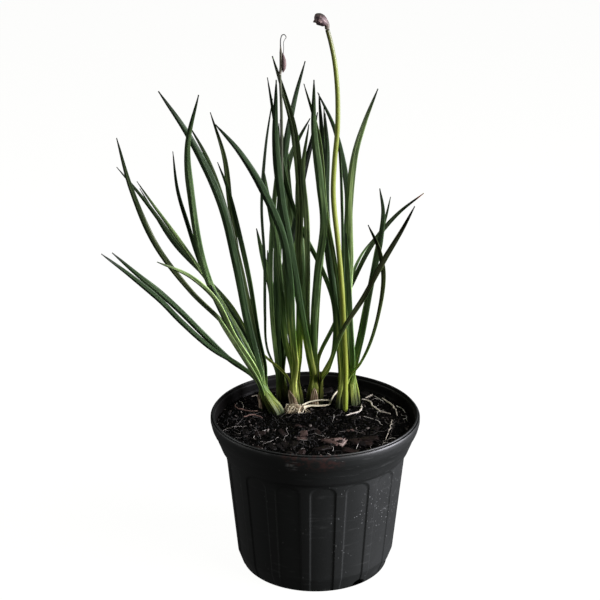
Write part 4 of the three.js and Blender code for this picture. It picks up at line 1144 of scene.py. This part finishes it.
def bark_piece(place, size, turn, seed, tint, material, lift=0.3):
    """An irregular slab of bark with worn edges."""
    work = bmesh.new()
    bmesh.ops.create_cube(work, size=2)
    bmesh.ops.subdivide_edges(work, edges=work.edges, cuts=7, use_grid_fill=True)
    for vert in work.verts:
        p = vert.co.copy()
        worn = p.lerp(p.normalized() * 1.15, 0.3)
        rough = noise.fractal(worn * 1.7 + Vector((seed * 3.1, 0, 0)), 0.8, 2.0, 3)
        ledge = 0.12 * math.sin(worn.z * 9 + seed) * (abs(worn.x) > 0.6 or abs(worn.y) > 0.6)
        worn *= 1 + 0.34 * rough + 0.15 * noise.noise(worn * 5 + Vector((0, seed, 0))) + ledge
        vert.co = Vector((worn.x * size[0] / 2, worn.y * size[1] / 2, worn.z * size[2] / 2))
    turned = Euler(turn).to_matrix()
    points = [tuple(turned @ v.co + Vector((place[0], place[1], soil_height(*place) + lift)))
        for v in work.verts]
    work.verts.index_update()
    faces = [tuple(v.index for v in face.verts) for face in work.faces]
    work.free()
    return mesh_object("bark", points, faces, material, tint=[tint] * len(points))


def near_root(x, y, distance):
    """Whether a place on the mix is near one of the bare roots."""
    for _, route in ROOTS.values():
        for i, point in enumerate(route):
            after = route[min(i + 1, len(route) - 1)]
            middle = ((point[0] + after[0]) / 2, (point[1] + after[1]) / 2)
            if any(math.hypot(x - p[0], y - p[1]) < distance for p in (point, middle)):
                return True
    return False


def build_bark():
    """The solids' own chips, drawn from the same seed, and the flatter pieces that lie among them."""
    stops = [(0.0, "#050303"), (1.0, "#9c8c87"), (0.3, "#0e0908"), (0.6, "#231816"), (0.85, "#5c4a46")]
    bark = crumb_stuff("pine_bark", stops, 0.6, 0.14)
    pieces = []
    draw = random_from(11)
    while len(pieces) < CHIPS:
        x, y = -60 + 125 * draw(), -72 + 80 * draw()
        clear = all(math.hypot(x - base[0], y - base[1]) > radius + 9 for base, radius in standing())
        if math.hypot(x, y) < 74 and clear and not near_root(x, y, 10):
            size = (5 + 5 * draw(), 3 + 3 * draw(), 2.2 + draw())
            turn = ((draw() - 0.5) * 0.5, (draw() - 0.5) * 0.6, draw() * math.pi)
            seed = len(pieces)
            pieces.append(bark_piece((x, y), size, turn, seed, 0.15 + 0.55 * ((seed * 7) % 5) / 4, bark))
    for seed, (place, long, wide, high, turn, tint) in enumerate(BARK):
        lean = (0.10 * math.sin(seed * 2.3), 0.12 * math.cos(seed * 1.7), math.radians(turn))
        pieces.append(bark_piece(place, (long, wide, high), lean, seed + 20, tint * 0.72, bark))
    return pieces


def thread_paths(sizes):
    """Fine bare roots that wander over the surface, most of them near the wall."""
    draw = random_from(23)
    paths = []
    while len(paths) < sizes.threads:
        turn, reach = 2 * math.pi * draw(), 80 * math.sqrt(0.06 + 0.94 * draw())
        x, y = reach * math.cos(turn), reach * math.sin(turn)
        heading, steps = 2 * math.pi * draw(), int(5 + 11 * draw() ** 1.5)
        radius, tint, curl = 0.15 + 0.17 * draw(), draw() ** 2.2, (draw() - 0.5) * 0.6
        line = []
        for i in range(steps):
            if math.hypot(x, y) > 82.5:
                break
            hump = 0.9 * math.sin(math.pi * i / max(steps - 1, 1)) * tint
            line.append((x, y, lumpy(x, y) + radius + 0.25 + hump))
            heading += curl * 0.6 + (draw() - 0.5) * 1.1
            x += 2.3 * math.cos(heading)
            y += 2.3 * math.sin(heading)
        if len(line) > 3:
            line = spline(line, np.linspace(0, 1, len(line) * 3))
            paths.append((line, radius * np.linspace(1, 0.45, len(line)), tint))
    for route, radius, shade in SEEN_THREADS:
        line = [(x, y, lumpy(x, y) + radius + 0.4) for x, y in route]
        line = spline(line, np.linspace(0, 1, 24))
        wander = [smooth_noise(p[0] / 4, p[1] / 4, 5.5) for p in line]
        line[:, 0] += np.array(wander) * 1.6
        paths.append((line, radius * np.linspace(1, 0.6, 24), shade))
    return paths


# Shoots


def neck_girth(height, rings=NECK_RINGS):
    """Share of the neck's radius at a height above the mix."""
    heights, shares = zip(*rings)
    return float(np.interp(height, heights, shares))


def depth_at(base, leaf, share):
    """How far back a leaf stands at a share of its length."""
    return lerp(base[1], leaf[0], share ** ARCH) + leaf[1] * math.sin(math.pi * share)


def neck_line(base, leaves):
    """The middle line of a neck, at heights above the mix."""
    mean = np.mean([on_sight_line(*leaf[4][0], depth_at(base, leaf, NECK_SHARE)) for leaf in leaves],
        axis=0)
    rise = mean[2] - SOIL_LEVEL

    def line(height):
        share = max(height - 1, 0) / rise
        return np.array((lerp(base[0], mean[0], share), lerp(base[1], mean[1], share), SOIL_LEVEL + height))

    return line


def leaf_route(base, leaf, line):
    """A leaf's path in space, from the table's path and its depth."""
    flat = [(base[0], SOIL_LEVEL + 12)] + list(leaf[4])
    runs = [math.hypot(b[0] - a[0], b[1] - a[1]) for a, b in zip(flat, flat[1:])]
    lengths = np.concatenate([[0], np.cumsum(runs)])
    points = [line(7)]
    for i in range(1, len(flat)):
        points.append(on_sight_line(*flat[i], depth_at(base, leaf, lengths[i] / lengths[-1])))
    return points


def leaf_course(base, leaf, line, sizes, seed):
    """The middle line of one leaf, the way it runs, its width's direction and the way it faces."""
    route = leaf_route(base, leaf, line)
    length = even_points(route, 8)[1]
    points, _ = even_points(route, max(12, int(length / (sizes.step / MM))))
    shares = np.linspace(0, 1, len(points))
    along = tangents(points)
    flat = unit(np.cross(along, unit(points - VIEWPOINT)))
    towards = np.cross(flat, along)
    wobble = [0.12 * smooth_noise(s * length / 45, seed * 7.7, 1.5) for s in shares]
    turn = np.radians(lerp(leaf[3][0], leaf[3][1], shares)) + np.array(wobble)
    width = flat * np.cos(turn)[:, None] + towards * np.sin(turn)[:, None]
    face = np.cross(along, width)
    side = -1 if face[0][2] < 0 else 1
    return points, along, width * -side, face * side, shares, length


def places_round_neck(courses):
    """For each leaf the turn that gives its foot room on the neck, and how far out the foot stands."""
    natural = np.array([math.atan2(-course[3][0][1], -course[3][0][0]) for course in courses])
    order = np.argsort(natural)
    gaps = (np.roll(natural[order], -1) - natural[order]) % (2 * math.pi)
    order = np.roll(order, -(int(np.argmax(gaps)) + 1))
    steps = (natural[order][1:] - natural[order][:-1]) % (2 * math.pi)
    ring = natural[order][0] + np.concatenate([[0], np.cumsum(steps)])
    count = len(order)
    even = ring.mean() + (np.arange(count) - (count - 1) / 2) * 2 * math.pi / count
    places = [None] * count
    for rank, index in enumerate(order):
        places[index] = (0.75 * (even[rank] - ring[rank]), 0.74 if rank % 2 else 0.96)
    return places


def leaf_values(course, leaf, place, radius, line, sizes, seed):
    """The rings of one leaf: its place, the way it faces, its width and how far it curls."""
    points, along, width, face, shares, length = course
    turn, out = place
    half = leaf[2] / 2 * np.minimum(1, ((1 - shares) / 0.25) ** 0.56)
    half *= 1 + 0.05 * np.array([smooth_noise(s * length / 30, seed * 3.3, 9) for s in shares])
    half = np.maximum(half, 0.075 * leaf[2])
    # The foot of a leaf is a narrow fleshy gutter with its own place on the neck.
    heights = points[:, 2] - SOIL_LEVEL
    wrap = 1 - smoothstep(heights, *GUTTER_OPENS)
    angle = (turn * wrap)[:, None]
    face = face * np.cos(angle) + np.cross(along, face) * np.sin(angle)
    level = unit(face * np.array((1, 1, 0.2)))
    girth = np.array([neck_girth(h, FOOT_RINGS) for h in heights]) * radius * out
    hugging = np.array([line(h) for h in heights]) - level * girth[:, None]
    points = lerp(points, hugging, 1 - smoothstep(heights, *LEAVES_NECK)[:, None])
    bend = lerp(sizes.channel * (0.8 + 0.5 * shares), math.radians(80), wrap)
    half = lerp(half, min(leaf[2] / 2, radius * 0.45), wrap)
    # Down into the mix.
    root = np.array([line(h) - level[0] * neck_girth(h, FOOT_RINGS) * radius * out for h in FOOT_LEVELS])
    points = np.vstack([root, points])
    along = tangents(points)
    face, width, shares, half, bend, wrap = (
        np.concatenate([np.repeat(values[:1], len(FOOT_LEVELS), axis=0), values])
        for values in (face, width, shares, half, bend, wrap))
    face = unit(face - along * np.sum(face * along, axis=1)[:, None])
    across = np.cross(face, along)
    # A little short of the tip, the width tells which way is across.
    if np.dot(across[-6], width[-6]) < 0:
        across = -across
    reach = np.concatenate([[0], np.cumsum(np.linalg.norm(np.diff(points, axis=0), axis=1))]) + NECK_DEPTH
    thin = np.interp(shares, [0, 0.1, 0.85, 1], [0.9, 1, 0.8, 0.4]) * (1 + 0.5 * wrap)
    return points, across, face, half, bend, shares, reach, thin


def crease(blades):
    """Keeps the fold along the middle of each blade, and its margins, sharp."""
    with opened(blades) as work:
        section = work.verts.layers.float_vector["section"]
        for edge in work.edges:
            across = [abs(vert[section].x) for vert in edge.verts]
            if max(across) < 0.02 or min(across) > 0.98:
                edge.smooth = False


def neck_body(radius, line, seed, material):
    """The heart of a neck: the stubs of old leaves, ridged, and painted dark as shade between the feet of the
    leaves.
    """
    columns, heights = 40, np.linspace(NECK_DEPTH, NECK_TOP, 26)
    angles = np.linspace(0, 2 * math.pi, columns, endpoint=False)
    points = []
    for height in heights:
        folds = 1 + 0.07 * np.cos(3 * angles + seed + height * 0.05) + 0.04 * np.cos(7 * angles - seed)
        girth = neck_girth(height) * radius * 0.62 * folds
        middle = line(height)
        points += [middle + g * np.array((math.cos(a), math.sin(a), 0)) for g, a in zip(girth, angles)]
    faces = grid_faces(len(heights), columns)
    faces += [tuple(range(columns - 1, -1, -1)), tuple(range(len(points) - columns, len(points)))]
    return mesh_object("neck", points, faces, material, tint=[0.45] * len(points))


def build_shoot(name, number, sizes, material, heart):
    """One shoot: its blades on their spines, and the heart of its neck."""
    base, radius, leaves = SHOOTS[name]
    line = neck_line(base, leaves)
    draw = random_from(101 + number)
    along = ("spine", "across", "face", "half", "bend", "share", "reach", "thin")
    values = {label: [] for label in along + ("tint", "breadth", "dry", "age")}
    points, edges = [], []
    courses = [leaf_course(base, leaf, line, sizes, number * 10 + i) for i, leaf in enumerate(leaves)]
    places = places_round_neck(courses)
    for index, leaf in enumerate(leaves):
        tint = draw()
        dry = 0.03 if leaf[4][-1] == DRY_TIP else -0.1
        seed = number * 10 + index
        rings = leaf_values(courses[index], leaf, places[index], radius, line, sizes, seed)
        start, count = len(points), len(rings[0])
        edges += [(start + i, start + i + 1) for i in range(count - 1)]
        points += list(rings[0])
        for label, ring in zip(along, rings):
            values[label] += list(ring * MM if label in ("spine", "half") else ring)
        values["breadth"] += list(rings[3])
        for label, value in (("tint", tint), ("dry", dry), ("age", AGES[name] * (0.75 + 0.5 * tint))):
            values[label] += [value] * count
    rails = mesh_object(name + "_spines", points, [], edges=edges, smooth=False, **values)
    blades = grown(name + "_leaves", rails, blade_tree(), {"Middle Thickness": sizes.middle,
        "Section Points": 16, "Blade": material})
    crease(blades)
    neck = neck_body(radius, line, number, heart)
    shoot = faced_outwards(joined(name + "_fine", [blades, neck]))
    return finished(shoot, "leaf", name)


# Flower stems and buds


def stem_points(stem):
    """A stem's path in space, from under the mix to its top."""
    base, _, top, path, _ = stem
    points = [(base[0], base[1], SOIL_LEVEL - 11.7), (base[0], base[1], SOIL_LEVEL + 1)]
    for i, (x, z) in enumerate(path):
        points.append(tuple(on_sight_line(x, z, lerp(base[1], top, (i + 1) / len(path)))))
    return points


def stem_path(stem, count, tint):
    """A stem's path with its radii, thinner towards the top."""
    radius = stem[1] * stem[4]
    shares = np.linspace(0, 1, count)
    radii = np.interp(shares, [0, 0.5, 1], [radius, radius, radius * STEM_TAPER])
    return spline(stem_points(stem), shares), radii, tint


def bud_path(rows, stem, count, tint, on_stem=True):
    """A path in the plane of a stem's top, with its radii. One on the stem starts from its end."""
    points = [on_sight_line(x, z, stem[2]) for x, z, _ in rows]
    radii = [row[2] for row in rows]
    if on_stem:
        before, end = (np.asarray(p) for p in stem_points(stem)[-2:])
        points.insert(0, end + (end - before) / np.linalg.norm(end - before) * 0.7)
        radii.insert(0, stem[1] * STEM_TAPER * stem[4])
    shares = np.linspace(0, 1, count)
    return spline(points, shares), np.interp(shares, np.linspace(0, 1, len(radii)), radii), tint


def build_stems():
    """The fresh flower stem, smooth and round, and the withered one, ridged and uneven."""
    fresh = tubes("scape_fine", [stem_path(SCAPE, 220, 0.5)], green_stem(), sides=24, ridges=9, depth=0.008)
    finished(fresh, "scape", "scape")
    old = tubes("withered_scape_fine", [stem_path(OLD_SCAPE, 200, 0.5)], fibrous("withered_stem_fibre"),
        sides=18, ridges=6, depth=0.12, knobs=0.25, knob_size=0.006)
    finished(old, "withered", "withered_scape")


def build_buds():
    """The fresh bud with its beak, and the withered stalk, sheath and thread."""
    bud = tubes("spathe_bud_fine", [bud_path(BUD, SCAPE, 80, 0.45), bud_path(BEAK, SCAPE, 40, 0.45, False)],
        bud_sheath(), sides=48, ridges=9, depth=0.03, knobs=0.1, knob_size=0.003)
    finished(bud, "bud", "spathe_bud")
    stalk = tubes("withered_stalk", [bud_path(OLD_STALK, OLD_SCAPE, 60, 0.5)], fibrous("withered_stalk"),
        sides=20, ridges=5, depth=0.1, knobs=0.3, knob_size=0.004)
    sheath = tubes("withered_sheath", [bud_path(OLD_SHEATH, OLD_SCAPE, 60, 0.5, False)],
        fibrous("withered_bud_sheath"), sides=28, ridges=4, depth=0.14, knobs=0.5, knob_size=0.003)
    thread = tubes("withered_thread", [bud_path(OLD_THREAD, OLD_SCAPE, 90, 0.3, False)],
        fibrous("withered_thread"), sides=10)
    finished(joined("withered_spathe_fine", [stalk, sheath, thread]), "withered", "withered_spathe")


# Rhizome, roots and sheaths


def lying_path(route, rise, radii, count, tint):
    """A path that lies on the mix, with its radii."""
    line = [(x, y, soil_height(x, y) + rise) for x, y in route]
    shares = np.linspace(0, 1, count)
    return spline(line, shares), np.interp(shares, np.linspace(0, 1, len(radii)), radii), tint


def build_rhizome():
    """The crown, rough with old leaf bases, and the pale runner that grows from it."""
    bark, pale = fibrous("rhizome_skin"), fibrous("rhizome_runner_skin")
    crown = [lying_path(route, rise, radii, 60, 0.45) for route, rise, radii in RHIZOME[:3]]
    body = tubes("rhizome_crown", crown, bark, sides=40, ridges=9, depth=0.06, knobs=0.5, knob_size=0.0025)
    route, rise, radii = RHIZOME[3]
    line, girths, tint = lying_path(route, rise * 0.8, [0.68 * r for r in radii], 150, 0.6)
    loop = spline(LOOP, np.linspace(0, 1, 70))
    runner = tubes("rhizome_runner", [(line, girths, tint), (loop, np.linspace(0.55, 0.7, 70), 0.75)], pale,
        sides=16, ridges=3, depth=0.05, knobs=0.5, knob_size=0.003)
    draw = random_from(5)
    strands = []
    for _ in range(90):
        x, y = -26 + 18 * draw(), 21 + 10 * draw()
        heading, rise = -math.pi / 2 + (draw() - 0.5) * 2.6, 1.2 + 3.6 * draw()
        line = []
        for j in range(5):
            fall = rise * (1 - (j / 4) ** 1.6)
            line.append((x, y, max(soil_height(x, y) + 0.3, soil_height(x, y) + fall)))
            x += 1.7 * math.cos(heading)
            y += 1.7 * math.sin(heading)
            heading += (draw() - 0.5) * 0.7
        strands.append((spline(line, np.linspace(0, 1, 12)), np.linspace(0.3, 0.1, 12), 0.1 + 0.9 * draw()))
    fibres = tubes("rhizome_fibres", strands, bark, sides=5)
    return finished(joined("rhizome_fine", [body, runner, fibres]), "root", "rhizome")


def build_roots():
    """The bare roots on the mix: two red-brown ones at the left, and pale ones."""
    pale, brown = fibrous("pale_root_skin"), fibrous("red_brown_root_skin")
    for name, (radius, route) in ROOTS.items():
        slim = 0.72 * radius
        line, radii, _ = lying_path(route, radius + 0.3, (slim * 0.7, slim, slim * 0.6), 90, 0)
        # A root lies in small kinks.
        fade = np.sin(np.linspace(0, math.pi, len(line)))
        for axis, size in ((0, 1.3), (1, 1.3), (2, 0.5)):
            kinks = [smooth_noise(p[0] / 4.5, p[1] / 4.5, 2.2 + 3 * axis) for p in line]
            line[:, axis] += size * np.array(kinks) * fade
        skin = brown if name.startswith("root_left") else pale
        root = tubes(name + "_fine", [(line, radii, 0.5)], skin, sides=12, ridges=2, depth=0.08, knobs=0.5,
            knob_size=0.003)
        finished(root, "root", name)


def build_threads(sizes):
    """The fine root threads in one piece."""
    threads = tubes("root_threads", thread_paths(sizes), fibrous("root_thread"), sides=5)
    return finished(threads, "root")


def sheath_body(shoot, facing, spread, height, seed, material):
    """One papery sheath: a thin curved sheet, torn along its top."""
    base, radius, leaves = SHOOTS[shoot]
    line = neck_line(base, leaves)
    rows, columns = 26, 30
    outer, inner, tint = [], [], []
    for i in range(rows):
        share = lerp(0.06, 1, i / (rows - 1))
        narrow = float(np.interp(share, [0.06, 0.4, 0.75, 1], [1, 0.9, 0.6, 0.12]))
        for j in range(columns):
            place = j / (columns - 1) - 0.5
            torn = 0.1 * smooth_noise(i * 0.33, math.copysign(4, place), seed)
            turn = math.radians(facing + spread * narrow * (1 + torn) * place)
            rag = 1 + 0.1 * smooth_noise(place * 9, seed * 2.0, 4) * share
            level = height * share * rag
            ripple = 0.28 * math.sin(place * 16 + seed) * share
            ripple += 0.3 * smooth_noise(place * 5, share * 4, seed)
            reach = radius * lerp(1, 0.9, level / 10) + 0.5 + 0.8 * share + ripple
            out = np.array((math.cos(turn), math.sin(turn), 0))
            outer.append(line(level) + out * (reach + 0.38))
            inner.append(line(level) + out * reach)
            mottle = 0.3 * smooth_noise(place * 7, share * 3, seed + 9)
            tint.append(0.5 + 0.22 * math.cos(place * 26 + seed) + mottle)
    count = rows * columns
    faces = grid_faces(rows, columns, closed=False)
    faces += [tuple(count + k for k in reversed(face)) for face in faces]
    edge = list(range(columns)) + [i * columns + columns - 1 for i in range(1, rows)]
    edge += [(rows - 1) * columns + j for j in range(columns - 2, -1, -1)]
    edge += [i * columns for i in range(rows - 2, 0, -1)]
    for a, b in zip(edge, edge[1:] + edge[:1]):
        faces.append((b, a, count + a, count + b))
    return mesh_object("sheath", outer + inner, faces, material, tint=tint + tint)


def build_sheaths():
    """The dry sheaths, each closed and set in place of its solid."""
    paper = fibrous("dry_leaf_sheath")
    for seed, (name, (shoot, facing, spread, height)) in enumerate(SHEATHS.items()):
        sheath = faced_outwards(sheath_body(shoot, facing, spread, height, seed + 1.5, paper))
        sheath.name = name + "_fine"
        finished(sheath, "dry_sheath", name)


# Studio


def build_studio(studio):
    """The floor, the world's faint light, the lamps and the camera."""
    far = FLOOR_HALF / MM
    corners = [(-far, -far, 0), (far, -far, 0), (far, far, 0), (-far, far, 0)]
    floor = mesh_object("floor", corners, [(0, 1, 2, 3)], smooth=False)
    material, tree, where = surface("plain_pale_floor")
    # Evenly lit paper: nearly all its brightness is its own, so it is as pale at its far end as near
    # the lamps, and thin leaves stand clear against it. Under the pot's foot it is painted black, a painted
    # shadow.
    away = add(tree, "VectorMath LENGTH", (where,), out=1)
    # Painted shadow: inside this radius the floor neither glows nor takes light.
    outside_painted_shadow = add(tree, "Math GREATER_THAN", (away, PAINTED_SHADOW_RADIUS * MM))
    faint = add(tree, "Math MULTIPLY", (outside_painted_shadow, 0.045))
    pale = add(tree, "VectorMath SCALE", {0: tuple(studio.floor), "Scale": faint})
    paper = add(tree, "BsdfDiffuse", {"Color": pale})
    glow = add(tree, "Emission", {"Color": tuple(studio.floor) + (1,), "Strength": outside_painted_shadow})
    shader = add(tree, "AddShader", (paper, glow))
    add(tree, "OutputMaterial", {"Surface": shader})
    # It lights nothing, so no light samples are spent on it.
    material.cycles.emission_sampling = "NONE"
    floor.data.materials.append(material)
    floor.visible_glossy = False
    floor.visible_diffuse = False

    world = bpy.data.worlds.new("studio")
    bpy.context.scene.world = world
    world.use_nodes = True
    sky = world.node_tree.nodes["Background"].inputs
    sky["Color"].default_value = (1, 1, 1, 1)
    sky["Strength"].default_value = SKY_STRENGTH

    for name, (place, size, power, tinge) in LAMPS.items():
        light = bpy.data.lights.new(name, "AREA")
        light.shape = "DISK"
        light.size = size
        light.energy = studio.key * power
        light.color = tinge
        lamp = bpy.data.objects.new(name, light)
        lamp.location = place
        lamp.rotation_euler = (LAMPS_AIM - Vector(place)).to_track_quat("-Z", "Y").to_euler()
        lamp.visible_camera = False
        bpy.context.scene.collection.objects.link(lamp)

    camera = bpy.data.cameras.new("camera")
    camera.lens = studio.lens
    camera.sensor_width = 36
    camera.clip_end = 60
    eye = bpy.data.objects.new("camera", camera)
    eye.location = CAMERA_PLACE
    eye.rotation_euler = (math.radians(90 - CAMERA_DIP), 0, 0)
    bpy.context.scene.collection.objects.link(eye)
    bpy.context.scene.camera = eye
    bpy.context.scene.view_settings.view_transform = "Standard"


# Operators and panel


class GARLIC_OT_pot(bpy.types.Operator):
    """Build the nursery pot"""

    bl_idname = "garlic.pot"
    bl_label = "Nursery Pot"

    def execute(self, context):
        build_pot(context.scene.garlic_pot)
        return {"FINISHED"}


class GARLIC_OT_mix(bpy.types.Operator):
    """Fill the pot with potting mix, and strew it with crumbs and bark"""

    bl_idname = "garlic.mix"
    bl_label = "Potting Mix"

    def execute(self, context):
        sizes = context.scene.garlic_mix
        bed = build_bed(sizes)
        top = bed.copy()
        top.data = bed.data.copy()
        context.scene.collection.objects.link(top)
        with opened(top) as work:
            low = [f for f in work.faces if f.normal.z < 0.2 or f.calc_center_median().z < 0.125]
            bmesh.ops.delete(work, geom=low, context="FACES")
        # The palest crumbs are partly grey grit and partly painted glints on the wet peat.
        stops = [(0.0, "#000000"), (1.0, "#6a6360"), (0.5, "#020202"), (0.8, "#060505"), (0.93, "#221d1b")]
        crumbs = grown("mix_crumbs", top, crumb_tree(), {"Density": float(sizes.crumbs),
            "Largest": sizes.crumb_size, "Seed": 4, "Crumb": crumb_stuff("peat_crumb_with_painted_glints", stops, 0.5, 0.07)})
        crumbs = faced_outwards(crumbs)
        crumbs.data.shade_flat()
        finished(joined("potting_mix_bed", [bed] + build_bark()), "potting_mix", "potting_mix")
        finished(crumbs, "potting_mix")
        return {"FINISHED"}


class GARLIC_OT_shoots(bpy.types.Operator):
    """Grow the leafy shoots"""

    bl_idname = "garlic.shoots"
    bl_label = "Leafy Shoots"

    def execute(self, context):
        sizes = context.scene.garlic_leaves
        material = living_leaf(sizes)
        heart = fibrous("old_leaf_bases_and_painted_shade")
        for number, name in enumerate(SHOOTS):
            build_shoot(name, number, sizes, material, heart)
        return {"FINISHED"}


class GARLIC_OT_stems(bpy.types.Operator):
    """Grow the fresh and the withered flower stem"""

    bl_idname = "garlic.stems"
    bl_label = "Flower Stems"

    def execute(self, context):
        build_stems()
        return {"FINISHED"}


class GARLIC_OT_buds(bpy.types.Operator):
    """Set the fresh and the withered bud on their stems"""

    bl_idname = "garlic.buds"
    bl_label = "Buds"

    def execute(self, context):
        build_buds()
        return {"FINISHED"}


class GARLIC_OT_roots(bpy.types.Operator):
    """Lay the rhizome, the bare roots and their threads on the mix"""

    bl_idname = "garlic.roots"
    bl_label = "Rhizome and Roots"

    def execute(self, context):
        build_rhizome()
        build_roots()
        build_threads(context.scene.garlic_mix)
        return {"FINISHED"}


class GARLIC_OT_sheaths(bpy.types.Operator):
    """Wrap the dry papery sheaths round their necks"""

    bl_idname = "garlic.sheaths"
    bl_label = "Dry Sheaths"

    def execute(self, context):
        build_sheaths()
        return {"FINISHED"}


class GARLIC_OT_studio(bpy.types.Operator):
    """Set up the floor, the lights and the camera"""

    bl_idname = "garlic.studio"
    bl_label = "Studio"

    def execute(self, context):
        build_studio(context.scene.garlic_studio)
        return {"FINISHED"}


STEPS = (GARLIC_OT_studio, GARLIC_OT_pot, GARLIC_OT_mix, GARLIC_OT_shoots, GARLIC_OT_stems, GARLIC_OT_buds,
         GARLIC_OT_roots, GARLIC_OT_sheaths)
GROUPS = (("garlic_pot", GarlicPot), ("garlic_mix", GarlicMix), ("garlic_leaves", GarlicLeaves),
          ("garlic_studio", GarlicStudio))


class GARLIC_PT_panel(bpy.types.Panel):
    """Sizes, colours and pieces of the potted society garlic"""

    bl_idname = "GARLIC_PT_panel"
    bl_label = "Potted Society Garlic"
    bl_space_type = "VIEW_3D"
    bl_region_type = "UI"
    bl_category = "Garlic"

    def draw(self, context):
        for label, group in GROUPS:
            box = self.layout.box()
            for prop in group.__annotations__:
                box.prop(getattr(context.scene, label), prop)
        for step in STEPS:
            self.layout.operator(step.bl_idname)


def register():
    for label, group in GROUPS:
        bpy.utils.register_class(group)
        setattr(bpy.types.Scene, label, PointerProperty(type=group))
    for step in STEPS:
        bpy.utils.register_class(step)
    bpy.utils.register_class(GARLIC_PT_panel)


def unregister():
    bpy.utils.unregister_class(GARLIC_PT_panel)
    for step in reversed(STEPS):
        bpy.utils.unregister_class(step)
    for label, group in reversed(GROUPS):
        delattr(bpy.types.Scene, label)
        bpy.utils.unregister_class(group)


def main():
    register()
    bpy.ops.garlic.studio()
    bpy.ops.garlic.pot()
    bpy.ops.garlic.mix()
    bpy.ops.garlic.shoots()
    bpy.ops.garlic.stems()
    bpy.ops.garlic.buds()
    bpy.ops.garlic.roots()
    bpy.ops.garlic.sheaths()


if __name__ == "__main__":
    main()
